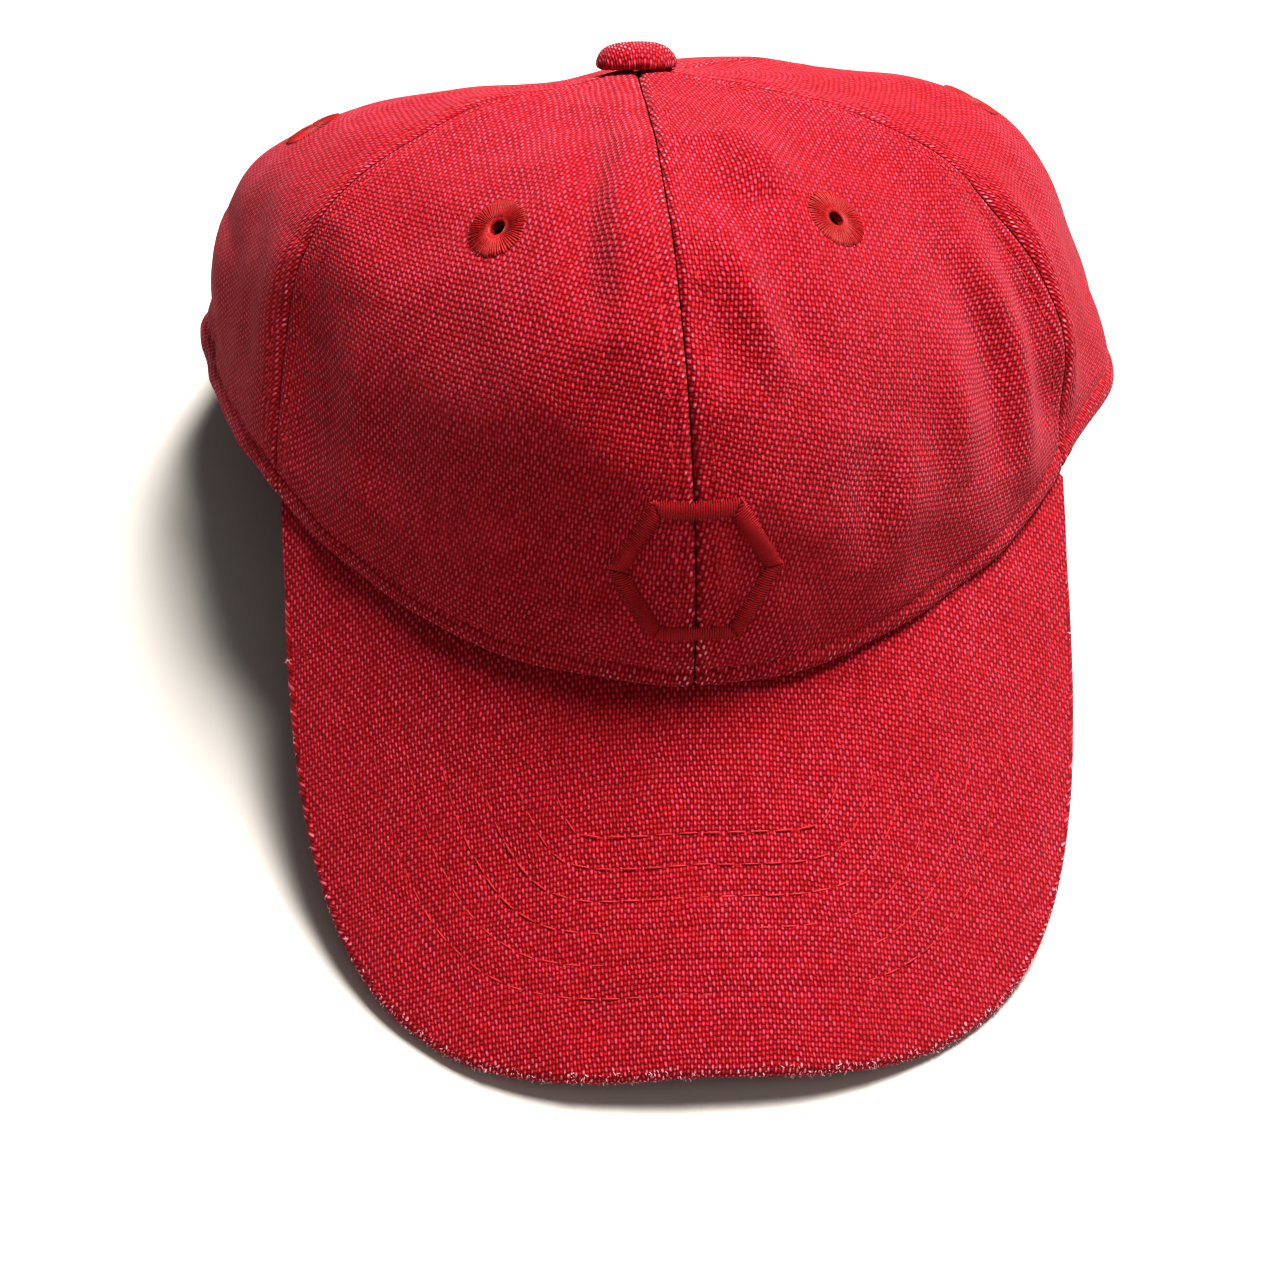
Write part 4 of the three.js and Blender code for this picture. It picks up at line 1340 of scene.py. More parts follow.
@dataclass
class CrownPanels:
    """Six canvas panels with rolled seams, a stitched hem, creases and rubbed ridges."""

    form: CapForm
    wardrobe: Wardrobe
    cloth: float = 1.15
    apex_hole: float = 3.5
    seam_gap: float = 0.15
    seam_groove: float = 1.1
    seam_groove_width: float = 0.75
    stitch_dip: float = 0.2
    hem_roll: float = 0.55
    hem_dip: float = 0.45
    hem_edge_drop: float = 1.3
    welt_height: float = 0.22
    welt_width: float = 6.0
    stitch_offset: float = 3.1
    hem_band: float = 5.6
    hem_stitch: float = 5.6
    opening_half: float = 33
    opening_height: float = 40
    opening_leg: float = 12
    bar_below: float = 8
    bar_length: float = 80
    eyelet_cut: float = 3.0
    sag_reach: float = 25
    eyelets: tuple[tuple[str, float, float], ...] = (
        ("front", 30, 0.583),
        ("side", 90, 0.643),
        ("rear", 150, 0.62),
    )
    seams: tuple[float, ...] = (0, math.radians(60), math.radians(120), math.pi)
    columns: int = 104
    rows: int = 140
    grain: tuple[tuple[str, float], ...] = (
        ("front_right", -20), ("front_left", -3), ("side_right", 6),
        ("side_left", -8), ("rear_right", 4), ("rear_left", -5),
    )

    def shape(self, angle: Array, up: Array, to_seam: Array) -> Array:
        """Points of the creased outer face.

        Args:
            angle: Angles round the crown.
            up: Shares of the rise.
            to_seam: Distances to the nearest panel seam.

        Returns:
            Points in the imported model's frame.
        """
        form = self.form
        height = form.height_at(angle, up)
        near_top = smooth_step(1 - up, 0.0, 0.12)
        sharp = 0.4 + 0.6 * (bell(angle, 0.35) + bell(np.abs(angle) - math.pi, 0.35))
        seam = -self.seam_groove * sharp * bell(to_seam, self.seam_groove_width)
        welt = 1 - smooth_step(to_seam, self.welt_width - 1.5, self.welt_width + 1)
        seam += self.welt_height * welt * near_top
        seam -= self.stitch_dip * bell(to_seam - self.stitch_offset, 0.7) * near_top
        hem = self.hem_roll * np.sin(math.pi * np.clip(height / self.hem_band, 0, 1)) ** 0.8
        hem -= self.hem_dip * bell(height - self.hem_stitch, 0.8)
        hem -= self.hem_edge_drop * bell(height, 0.9)
        relief = form.creases(angle, up) + seam + hem
        return form.layer(angle, up, -np.maximum(relief, form.deepest))

    def angles(self, seam_a: float, seam_b: float, across: Array, up: Array) -> tuple[Array, Array, Array]:
        """Angles, shares of the rise and distances to the seam of places on one panel.

        Args:
            seam_a: Angle of the panel's first seam.
            seam_b: Angle of its second seam.
            across: Places across the piece, from 0 to 1.
            up: Places up the piece, from 0 to 1.

        Returns:
            The angles, the shares and the distances.
        """
        form = self.form
        spread = across - 0.55 * np.sin(2 * math.pi * across) / (2 * math.pi)
        climb = up - 0.35 * np.sin(2 * math.pi * up) / (2 * math.pi)
        top = seam_a + (seam_b - seam_a) * spread
        share = climb * form.up_near_apex(top, self.apex_hole)
        start, end = form.seam_angle(seam_a, share), form.seam_angle(seam_b, share)
        start_scale = form.radian(start, share)
        end_scale = form.radian(end, share)
        first, last = start + self.seam_gap / start_scale, end - self.seam_gap / end_scale
        angle = first + (last - first) * spread
        scale = form.radian(angle, share)
        return angle, share, np.minimum(angle - start, end - angle) * scale

    def cloth_map(self, seam_a: float, seam_b: float, angle: Array, share: Array) -> Array:
        """Place of each point on the flat panel, in millimetres from its top.

        Args:
            seam_a: Angle of the panel's first seam.
            seam_b: Angle of its second seam.
            angle: Angles of the points.
            share: Their shares of the rise.

        Returns:
            The places.
        """
        form = self.form
        middle = np.full_like(angle, (seam_a + seam_b) / 2)
        steps = np.linspace(0, 1, 9)
        turns = middle[:, None] + (angle - middle)[:, None] * steps
        speed = form.radian(turns, np.repeat(share[:, None], steps.size, axis=1))
        width = (angle - middle) * speed.mean(axis=1)
        full = form.height_at(middle, np.ones_like(share))
        down = full - form.height_at(middle, share)
        radius = np.maximum(down + self.sag_reach, self.sag_reach)
        sag = 0.5 * width**2 / radius * smooth_step(share, 0.1, 0.9)
        return np.stack([width, -(down - sag)], -1)

    def build(self) -> None:
        """Makes the panels."""
        for side in Side:
            for i, (place, degrees, share) in enumerate(self.eyelets):
                low, high = self.seams[i], self.seams[i + 1]
                seam_a, seam_b = (low, high) if side is Side.RIGHT else (-high, -low)
                centre = self.form.frame_at(side.value * math.radians(degrees), share, 0)[:3, 3]
                self.panel(f"{place}_{side.label}", seam_a, seam_b, centre)

    def panel(self, label: str, seam_a: float, seam_b: float, eyelet: Array) -> None:
        """Makes one panel between two seams, with its eyelet's hole.

        Args:
            label: Place and side of the panel.
            seam_a: Angle of its first seam.
            seam_b: Angle of its second seam.
            eyelet: Centre of its eyelet.
        """

        def place(across: Array, up: Array) -> Array:
            """Points of the panel."""
            return self.shape(*self.angles(seam_a, seam_b, across, up))

        def pattern(across: Array, up: Array) -> Array:
            """Cloth map of the panel.

            Args:
                across: Places across the piece, from 0 to 1.
                up: Places up the piece, from 0 to 1.

            Returns:
                The places on the cloth.
            """
            angle, share, _ = self.angles(seam_a, seam_b, across, up)
            flat = self.cloth_map(seam_a, seam_b, angle, share)
            turn = math.radians(dict(self.grain)[label])
            return flat @ np.array([[math.cos(turn), -math.sin(turn)], [math.sin(turn), math.cos(turn)]])

        def wear(across: Array, up: Array) -> Array:
            """Rubbed seam ridges and hem, with more wear near the apex and at the foot of the front seam.

            Args:
                across: Places across the piece, from 0 to 1.
                up: Places up the piece, from 0 to 1.

            Returns:
                The wear; 1 is rubbed pale.
            """
            angle, share, to_seam = self.angles(seam_a, seam_b, across, up)
            height = self.form.height_at(angle, share)
            rubbed = 0.5 * bell(to_seam - 1.0, 1.0) + 0.55 * bell(height - 2.5, 2.2)
            rubbed += 0.35 * smooth_step(share, 0.9, 1.0) + 0.1
            low_seam = bell(to_seam, 7) * (1 - smooth_step(height, 8, 24)) * bell(angle, 0.3)
            return rubbed + 0.6 * low_seam

        sheet = Sheet(
            f"canvas_{label}", self.columns, self.rows, place, self.cloth, pattern, wear,
            holes=((eyelet, self.eyelet_cut),),
        )
        piece = sheet.build()
        if label.startswith("rear"):
            cut_away(piece, self.opening_bar())
        dress(piece, self.wardrobe.canvas)
        settle(piece, Body.COVER, "canvas", f"panel_{label}")

    def opening_bar(self) -> bpy.types.Object:
        """Arch-shaped bar through the rear of the crown, for the opening.

        Returns:
            The solid to cut with.
        """
        shape = bmesh.new()
        half, rise = self.opening_half, self.opening_height - self.opening_leg
        turns = np.linspace(0, math.pi, 33)
        arc = [(half * math.cos(t), self.opening_leg + rise * math.sin(t)) for t in turns]
        outline = [(-half, -self.bar_below), (half, -self.bar_below), *arc]
        start = self.form.shift[1] + self.form.hem_rear_reach - self.bar_length / 2
        corners = [shape.verts.new((x, start, z)) for x, z in outline]
        face = shape.faces.new(corners)
        solid = bmesh.ops.extrude_face_region(shape, geom=[face])
        moved = [v for v in solid["geom"] if isinstance(v, bmesh.types.BMVert)]
        bmesh.ops.translate(shape, vec=Vector((0, self.bar_length, 0)), verts=moved)
        bmesh.ops.recalc_face_normals(shape, faces=shape.faces)
        return from_bmesh("opening_bar", shape)

    def seam_line(self, seam: float, offset: float, low: float, high: float) -> tuple[Array, Array]:
        """Line on the creased cloth beside a seam, with its normals.

        Args:
            seam: Angle of the seam.
            offset: Distance beside it.
            low: Share of the rise where the line starts.
            high: Share where it ends.

        Returns:
            The points and the normals.
        """
        share = np.linspace(low, high, 90)
        middle = self.form.seam_angle(seam, share)
        angle = middle + offset / self.form.radian(middle, share)
        points = self.shape(angle, share, np.full_like(share, abs(offset)))
        return points, self.form.normal(angle, share)

    def hem_line(self, low: float, high: float, height: float) -> tuple[Array, Array]:
        """Line on the creased cloth at a height above the hem, with its normals.

        Args:
            low: Angle where the line starts.
            high: Angle where it ends.
            height: Height above the hem.

        Returns:
            The points and the normals.
        """
        angle = np.linspace(low, high, 260)
        share = self.form.up_at_height(angle, height)
        points = self.shape(angle, share, np.full_like(angle, 20.0))
        return points, self.form.normal(angle, share)

    def stitch(self) -> None:
        """Makes the double rows beside the seams and the row above the hem."""
        seams = Stitcher("seam_stitching", thick=0.3, seed=5)
        inner = [0.0, *(side.value * math.radians(a) for side in Side for a in (60, 120))]
        for seam in inner:
            for offset in (-self.stitch_offset, self.stitch_offset):
                seams.row(*self.seam_line(seam, offset, 0.05, 0.9))
        rear_low = self.form.share_above(math.pi, self.opening_height + 3)
        for offset in (-self.stitch_offset, self.stitch_offset):
            seams.row(*self.seam_line(math.pi, offset, rear_low, 0.9))
        stop = float(self.form.rear_angle(self.opening_half + 1))
        seams.row(*self.hem_line(-stop, stop, self.hem_stitch))
        piece = seams.build()
        dress(piece, self.wardrobe.seam_thread, 180)
        settle(piece, Body.COVER, "thread")


@dataclass
class Eyelets:
    """Six sewn eyelets: a core ring under closely laid radial threads."""

    form: CapForm
    wardrobe: Wardrobe
    places: tuple[tuple[str, float, float], ...]
    radius: float = 6.3
    hole: float = 1.3
    proud: float = 0.62
    threads: int = 64
    thread_rings: int = 8
    thread_high: float = 0.27
    tuck: float = 1.3

    def build(self) -> None:
        """Makes the eyelets."""
        for side in Side:
            for number, (place, degrees, share) in enumerate(self.places):
                seat = self.seat(side.value * math.radians(degrees), share)
                self.ring(f"eyelet_{place}_{side.label}", seat, 11 * number + side.value)

    def seat(self, angle: float, share: float) -> Array:
        """Frame on the creased cloth: the middle and the normal of a circle of places on it.

        Args:
            angle: Angle of the eyelet.
            share: Its share of the rise.

        Returns:
            A 4 by 4 matrix in millimetres.
        """
        form = self.form
        level = form.frame_at(angle, share, 0)[:3, 0]
        turns = np.arange(12) * math.pi / 6
        around = angle + np.cos(turns) * self.radius / form.radian(angle, share)
        above = share + np.sin(turns) * self.radius / np.linalg.norm(form.rise(angle, share))
        points = form.layer(around, above, -form.creases(around, above))
        centre = points.mean(axis=0)
        normal = unit(np.cross(points - centre, np.roll(points - centre, -1, axis=0)).sum(axis=0))
        level = unit(level - normal * (level @ normal))
        return axes(level, np.cross(normal, level), normal, centre)

    def ring(self, name: str, seat: Array, seed: int) -> None:
        """Makes one eyelet on its seat.

        Args:
            name: The CAD node that it stands for.
            seat: Frame that it sits on.
            seed: Seed of its unevenness.
        """
        random = np.random.default_rng(100 + seed)
        shape = bmesh.new()
        middle, half = (self.radius + self.hole) / 2, (self.radius - self.hole) / 2
        section = bmesh.ops.create_circle(shape, segments=14, radius=1.0)["verts"]
        for vertex in section:
            x, y = vertex.co.x, vertex.co.y
            low = -1.5 if x < 0 else -0.4
            vertex.co = Vector((middle + 0.9 * half * x, 0, (self.proud - 0.25) * y if y > 0 else -low * y))
        edges = list(shape.edges)
        bmesh.ops.spin(
            shape, geom=[*section, *edges], cent=Vector(), axis=Vector((0, 0, 1)), dvec=Vector(),
            angle=2 * math.pi, steps=48, use_merge=True,
        )
        bmesh.ops.recalc_face_normals(shape, faces=shape.faces)
        self.add_threads(shape, middle, half, random)
        shape.transform(Matrix(seat.tolist()))
        piece = from_bmesh(f"sewn_{name}", shape)
        dress(piece, self.wardrobe.satin_thread, 180)
        settle(piece, Body.COVER, "thread", name)

    def add_threads(
        self, shape: bmesh.types.BMesh, middle: float, half: float, random: np.random.Generator
    ) -> None:
        """Lays the radial threads over the core ring.

        Args:
            shape: The eyelet's bmesh.
            middle: Radius of the ring's middle.
            half: Half of its width.
            random: Source of its unevenness.
        """
        strand = bmesh.new()
        start = bmesh.ops.create_circle(strand, segments=5, radius=1.0)["verts"]
        bmesh.ops.rotate(strand, cent=Vector(), matrix=Matrix.Rotation(math.pi / 2, 3, "X"), verts=start)
        edges = list(strand.edges)
        for _ in range(self.thread_rings):
            grown = bmesh.ops.extrude_edge_only(strand, edges=edges)["geom"]
            edges = [g for g in grown if isinstance(g, bmesh.types.BMEdge)]
            moved = [g for g in grown if isinstance(g, bmesh.types.BMVert)]
            bmesh.ops.translate(strand, vec=Vector((0, 1, 0)), verts=moved)
        template = bpy.data.meshes.new("strand")
        bmesh.ops.recalc_face_normals(strand, faces=strand.faces)
        strand.to_mesh(template)
        strand.free()
        base = coordinates(template)
        for k in range(self.threads):
            turn = 2 * math.pi * (k + random.uniform(-0.15, 0.15)) / self.threads
            reach = half + random.uniform(-0.06, 0.2)
            phase = (base[:, 1] / self.thread_rings - 0.5) * math.pi * 1.06
            along = middle + np.sin(phase) * reach + (reach - half) * 0.5
            rise = np.cos(phase) * (self.proud - 0.1) - 0.16
            rise = np.where(np.sin(phase) < 0, rise - self.tuck * np.sin(phase) ** 4, rise)
            width = 0.44 * 2 * math.pi * along / self.threads
            side = base[:, 0] * width + (along - middle) * random.normal(0, 0.03)
            x = along * math.cos(turn) - side * math.sin(turn)
            y = along * math.sin(turn) + side * math.cos(turn)
            set_coordinates(template, np.stack([x, y, rise + base[:, 2] * self.thread_high], -1))
            shape.from_mesh(template)
        bpy.data.meshes.remove(template)


@dataclass
class TopButton:
    """Cloth-covered button on the apex, with the rivet and washer that hold it."""

    form: CapForm
    wardrobe: Wardrobe
    radius: float = 8.4
    height: float = 5.8
    raised: float = 2.4
    pleats: int = 15

    def build(self) -> None:
        """Makes the cover, and gives the hidden CAD pieces their metal."""
        shape = bmesh.new()
        outline = [
            (0.0, 1.0), (0.25, 0.995), (0.5, 0.95), (0.7, 0.86), (0.84, 0.73), (0.94, 0.54), (0.99, 0.36),
            (1.0, 0.22), (0.97, 0.1), (0.88, 0.04), (0.6, 0.03), (0.0, 0.03),
        ]
        fine = np.linspace(0, len(outline) - 1, 40)
        radii = np.interp(fine, range(len(outline)), [r for r, _ in outline]) * self.radius
        heights = np.interp(fine, range(len(outline)), [h for _, h in outline]) * self.height
        line = [shape.verts.new((r, 0, h)) for r, h in zip(radii, heights)]
        edges = [shape.edges.new(pair) for pair in zip(line, line[1:])]
        bmesh.ops.spin(
            shape, geom=[*line, *edges], cent=Vector(), axis=Vector((0, 0, 1)), dvec=Vector(),
            angle=2 * math.pi, steps=120, use_merge=True,
        )
        bmesh.ops.remove_doubles(shape, verts=shape.verts, dist=1e-3)
        bmesh.ops.recalc_face_normals(shape, faces=shape.faces)
        piece = from_bmesh("covered_button", shape, 1.0)
        points = coordinates(piece.data)
        radius = np.hypot(points[:, 0], points[:, 1])
        turn = np.arctan2(points[:, 1], points[:, 0])
        rim = smooth_step(radius, 0.8 * self.radius, self.radius)
        rim *= smooth_step(self.height * 0.75 - points[:, 2], 0, 2.5)
        wave = np.cos(turn * self.pleats + 1.4 * np.sin(3 * turn))
        scale = 1 + (0.018 * wave - 0.012) * rim + 0.01 * SoftNoise(21, 6).at(points)
        wear = 0.95 * bell(points[:, 2] - 0.86 * self.height, 0.8)
        wear += 0.5 * smooth_step(points[:, 2], 4.2, 5) + 0.25
        set_map(piece.data, points[:, :2] * (1 + 0.35 * (1 - points[:, 2:3] / self.height)))
        set_wear(piece.data, wear)
        points[:, :2] *= scale[:, None]
        seat = np.eye(4)
        seat[:3, :3] = np.array(Matrix.Rotation(-self.form.apex_tilt, 3, "X"))
        seat[:3, 3] = np.array(self.form.apex) + np.array(self.form.shift) + seat[:3, 2] * self.raised
        set_coordinates(piece.data, (points @ seat[:3, :3].T + seat[:3, 3]) * MM)
        dress(piece, self.wardrobe.canvas, 180)
        settle(piece, Body.COVER, "canvas", "top_button")
        for name in ("button_rivet", "button_washer"):
            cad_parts[name].material_slots[0].material = self.wardrobe.steel


@dataclass
class Emblem:
    """Plain six-sided ring of satin stitches on the front seam."""

    form: CapForm
    wardrobe: Wardrobe
    radius: float = 17
    line: float = 4
    height: float = 29
    pitch: float = 0.46
    lift: float = 0.2
    satin: float = 0.55
    front_radius: float = 110

    def build(self) -> None:
        """Makes the ring."""
        form = self.form
        share = form.share_above(0.0, self.height)
        centre = form.crown(0.0, share)
        random = np.random.default_rng(31)
        outer = self.radius * math.cos(math.pi / 6)
        inner = (self.radius - self.line) * math.cos(math.pi / 6)
        spans = []
        for turn in np.arange(6) * math.pi / 3 + math.pi / 6:
            out = np.array([math.cos(turn), math.sin(turn)])
            along = np.array([-out[1], out[0]])
            for place in np.arange(-self.radius / 2 + 0.4, self.radius / 2 - 0.3, self.pitch):
                low = max(inner, abs(place) * math.sqrt(3)) + random.uniform(-0.15, 0.1)
                high = outer + random.uniform(-0.1, 0.15)
                if high - low > 0.5:
                    spans.append([out * r + along * place for r in (low, (low + high) / 2, high)])
        spots = np.array(spans)
        x, z = spots[..., 0].ravel() + centre[0], spots[..., 1].ravel() + centre[2]
        angle, up = form.find(x, z, (x - centre[0]) / self.front_radius, np.full(x.size, share))
        points = form.layer(angle, up, -form.creases(angle, up) - self.lift).reshape(-1, 3, 3)
        normals = form.normal(angle, up).reshape(-1, 3, 3)[:, 1]
        matrices = []
        for (low, middle, high), normal in zip(points, normals):
            width = unit(np.cross(normal, high - low)) * self.pitch * 0.82
            matrices.append(axes((high - low) * 1.05, width, normal * self.satin, middle))
        piece = repeated("satin_emblem", stitch_template(6, 7), matrices)
        dress(piece, self.wardrobe.emblem_thread, 180)
        settle(piece, Body.COVER, "thread", "front_emblem")


# ------------------------------------------------------------------ brim


@dataclass
class Brim:
    """Curved brim: canvas over a board, rolled over its edge, quilted by rows of stitches."""

    form: CapForm
    wardrobe: Wardrobe
    cloth: float = 1.1
    tuck: float = 1.6
    roll: float = 2.35
    roll_out: float = 1.25
    row_depths: tuple[float, ...] = (15.0, 21.2, 27.4, 33.6, 39.8, 46.0)
    row_reach: tuple[float, ...] = (0.80, 0.78, 0.74, 0.70, 0.64, 0.56)
    stitch_pitch: float = 4.6
    columns: int = 250
    rows: int = 110
    rolled: float = 0.93
    fuller_corner: float = 1.2
    quilting: float = 0.15
    fibres: int = 620

    def edge_distance(self, x: Array, y: Array) -> Array:
        """Distance to the free edge, seen from above but measured on the slope.

        Args:
            x: Distances from the middle plane.
            y: Places from front to back.

        Returns:
            A distance for each place.
        """
        edge_x, edge_y = self.form.brim_outline(np.linspace(-1, 1, 241))
        stretch = 1 / math.cos(self.form.brim_slope)
        edge = np.stack([edge_x, edge_y * stretch, np.zeros_like(edge_x)], -1)
        spots = np.stack([x, y * stretch, np.zeros_like(x)], -1)
        return distance_to_path(spots, edge)[0]

    def flat(self, across: Array, forward: Array, inset: float) -> tuple[Array, Array, Array]:
        """Place on the flat part of the brim, and the direction out of its edge.

        Args:
            across: Share of the width, from -1 to 1.
            forward: 0 at the hem and 1 near the free edge.
            inset: How far short of the free edge the flat part stops.

        Returns:
            The x and y of each place, and the outward direction seen from above.
        """
        form = self.form
        angle = across * form.brim_end_angle
        hem_x, hem_y = form.hem_plan(angle)
        inward = form.normal(angle, np.zeros_like(angle))
        inward[:, 2] = 0
        inward = unit(inward)
        hem_x, hem_y = hem_x - inward[:, 0] * self.tuck, hem_y - inward[:, 1] * self.tuck
        step = 1e-3
        clipped = np.clip(across, -0.998, 0.998)
        after, before = form.brim_outline(clipped + step), form.brim_outline(clipped - step)
        tangent = unit(np.stack([after[0] - before[0], after[1] - before[1], np.zeros_like(across)], -1))
        outward = np.stack([tangent[:, 1], -tangent[:, 0], np.zeros_like(across)], -1)
        edge_x, edge_y = form.brim_outline(across)
        fade = smooth_step(1 - np.abs(across), 0, 0.06)
        edge_x, edge_y = edge_x - outward[:, 0] * inset * fade, edge_y - outward[:, 1] * inset * fade
        bulge = self.fuller_corner * (1 + 0.5 * np.sign(across))
        fuller = bulge * bell(np.abs(across) - 0.58, 0.34) * forward**2
        x = hem_x + (edge_x - hem_x) * forward + outward[:, 0] * fuller
        y = hem_y + (edge_y - hem_y) * forward + outward[:, 1] * fuller
        return x, y, outward * fade[:, None]

    def face(self, across: Array, up: Array, is_top: bool) -> Array:
        """Points of the top or of the under cover, with its rolled edge.

        Args:
            across: Shares of the width, from -1 to 1.
            up: Places from the hem to the edge, from 0 to 1.
            is_top: Whether it is the top cover.

        Returns:
            Points in millimetres.
        """
        form = self.form
        forward = np.clip(up / self.rolled, 0, 1)
        turn = np.clip((up - self.rolled) / (1 - self.rolled), 0, 1) * math.pi / 2
        x, y, outward = self.flat(across, forward, self.roll - self.roll_out)
        normal = form.brim_normal(x)
        tangent = unit(outward - normal * np.sum(outward * normal, axis=-1, keepdims=True) + 1e-9)
        tangent *= np.linalg.norm(outward, axis=-1, keepdims=True)
        surface = np.stack([x, y, form.brim_top(x, y)], -1)
        if not is_top:
            surface = surface - normal * form.brim_stack
            normal = -normal
        points = surface + tangent * (self.roll * np.sin(turn))[:, None]
        points = points - normal * (self.roll * (1 - np.cos(turn)))[:, None]
        return points + normal * self.relief(across, x, y, turn)[:, None] + np.array(form.shift)

    def relief(self, across: Array, x: Array, y: Array, turn: Array) -> Array:
        """Height of the quilting and of the board's soft waves.

        Args:
            across: Shares of the width, from -1 to 1.
            x: Distances from the middle plane.
            y: Places from front to back.
            turn: Angles round the rolled edge.

        Returns:
            Heights in millimetres.
        """
        distance = self.edge_distance(x, y)
        spots = np.stack([x, y, np.zeros_like(x)], -1)
        height = 0.22 * SoftNoise(41, 38).at(spots) + 0.12 * SoftNoise(47, 13).at(spots)
        for depth, reach in zip(self.row_depths, self.row_reach):
            fade = 1 - smooth_step(np.abs(across), reach - 0.15, reach + 0.05)
            height -= self.quilting * bell(distance - depth, 0.8) * fade
        height += 0.25 * bell(distance - 5, 4)
        return height * np.cos(turn) * smooth_step(1 - np.abs(across), 0, 0.1)

    def cloth_map(self, across: Array, up: Array) -> Array:
        """Place of each point on the flat cloth, in millimetres.

        Args:
            across: Shares of the width, from -1 to 1.
            up: Places from the hem to the edge, from 0 to 1.

        Returns:
            The places.
        """
        x, y, _ = self.flat(across, np.clip(up / self.rolled, 0, 1), self.roll - self.roll_out)
        extra = np.clip((up - self.rolled) / (1 - self.rolled), 0, 1) * self.roll * math.pi / 2
        arc = x * (1 + 0.04 * (x / 80) ** 2)
        return np.stack([arc, y / math.cos(self.form.brim_slope) - extra], -1)

    def cover(self, is_top: bool) -> bpy.types.Object:
        """Makes the top or the under cover.

        Args:
            is_top: Whether it is the top cover.

        Returns:
            The cover.
        """
        name = "brim_top_canvas" if is_top else "brim_under_canvas"
        turn = 1 if is_top else -1

        def place(across: Array, up: Array) -> Array:
            """Points, with the columns run so that the face looks outwards."""
            return self.face(turn * (1 - 2 * across), up, is_top)

        def pattern(across: Array, up: Array) -> Array:
            """Cloth map of the cover."""
            return self.cloth_map(turn * (1 - 2 * across), up)

        def wear(across: Array, up: Array) -> Array:
            """Rubbed free edge.

            Args:
                across: Places across the piece, from 0 to 1.
                up: Places up the piece, from 0 to 1.

            Returns:
                The wear; 1 is rubbed pale.
            """
            along = turn * (1 - 2 * across)
            front = 1 - smooth_step(np.abs(along), 0.75, 1.0) * 0.6
            return smooth_step(up, self.rolled - 0.035, self.rolled + 0.03) * front * 1.1 + 0.1

        return Sheet(name, self.columns, self.rows, place, self.cloth, pattern, wear).build()

    def edge_line(self, depth: float, reach: float, is_top: bool) -> tuple[Array, Array]:
        """Line on the cover at a distance from the free edge, with its normals.

        Args:
            depth: Distance from the edge.
            reach: Share of the width where the line ends.
            is_top: Whether it is on the top cover.

        Returns:
            The points and the normals.
        """
        form = self.form
        across = np.linspace(-reach, reach, 240)
        after, before = form.brim_outline(across + 1e-3), form.brim_outline(across - 1e-3)
        tangent = unit(np.stack([after[0] - before[0], after[1] - before[1]], -1))
        stretch = math.cos(form.brim_slope)
        edge_x, edge_y = form.brim_outline(across)
        x = edge_x - tangent[:, 1] * depth
        y = edge_y + tangent[:, 0] * depth * stretch
        normal = form.brim_normal(x)
        points = np.stack([x, y, form.brim_top(x, y)], -1) + np.array(form.shift)
        if is_top:
            return points - normal * 0.12, normal
        return points - normal * (form.brim_stack - 0.12), -normal

    def stitch(self) -> None:
        """Makes the rows of stitches on both faces."""
        for is_top, name in ((True, "brim_stitching"), (False, "brim_under_stitching")):
            rows = Stitcher(name, pitch=self.stitch_pitch, length=3.9, thick=0.28, seed=60)
            for depth, reach in zip(self.row_depths, self.row_reach):
                rows.row(*self.edge_line(depth, reach, is_top))
            piece = rows.build()
            dress(piece, self.wardrobe.seam_thread, 180)
            settle(piece, Body.COVER, "thread")

    def fray(self) -> None:
        """Makes the loose fibres along the rubbed front edge."""
        random = np.random.default_rng(77)
        count = self.fibres
        across = np.sort(np.clip(random.normal(-0.05, 0.5, count), -0.92, 0.92))
        up = random.uniform(self.rolled, 1.0, count)
        points = self.face(across, up, True)
        ahead = self.face(across + 2e-3, up, True) - points
        outer = self.face(across, np.full(count, 1.0), True) - self.face(across, np.full(count, 0.88), True)
        matrices = []
        for k in range(count):
            out = unit(outer[k]) + unit(random.normal(size=3)) * 0.6
            out = out + unit(ahead[k]) * random.normal(0, 0.8)
            out[2] += 0.15
            out = unit(out)
            side = unit(np.cross(out, random.normal(size=3)))
            length, thick = random.uniform(0.35, 1.05), random.uniform(0.07, 0.14)
            high = np.cross(out, side) * length * 0.25
            matrices.append(axes(out * length, side * thick, high, points[k] + out * length * 0.3))
        piece = repeated("brim_edge_fibres", stitch_template(4, 4), matrices)
        dress(piece, self.wardrobe.fibre, 180)
        settle(piece, Body.COVER, "canvas")

    def build(self) -> None:
        """Makes the covers, the stitches and the frayed edge."""
        for is_top in (True, False):
            piece = self.cover(is_top)
            # The top cover takes the canvas, and the under cover its darker copy, a painted shade.
            dress(piece, self.wardrobe.canvas if is_top else self.wardrobe.under)
            if is_top:
                settle(piece, Body.COVER, "canvas", "brim_top_cover")
            else:
                settle(piece, Body.COVER, "under_canvas", "brim_under_cover")
        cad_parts["brim_board"].material_slots[0].material = self.wardrobe.board
        self.stitch()
        self.fray()


# ------------------------------------------------------------------ inside trim and closure


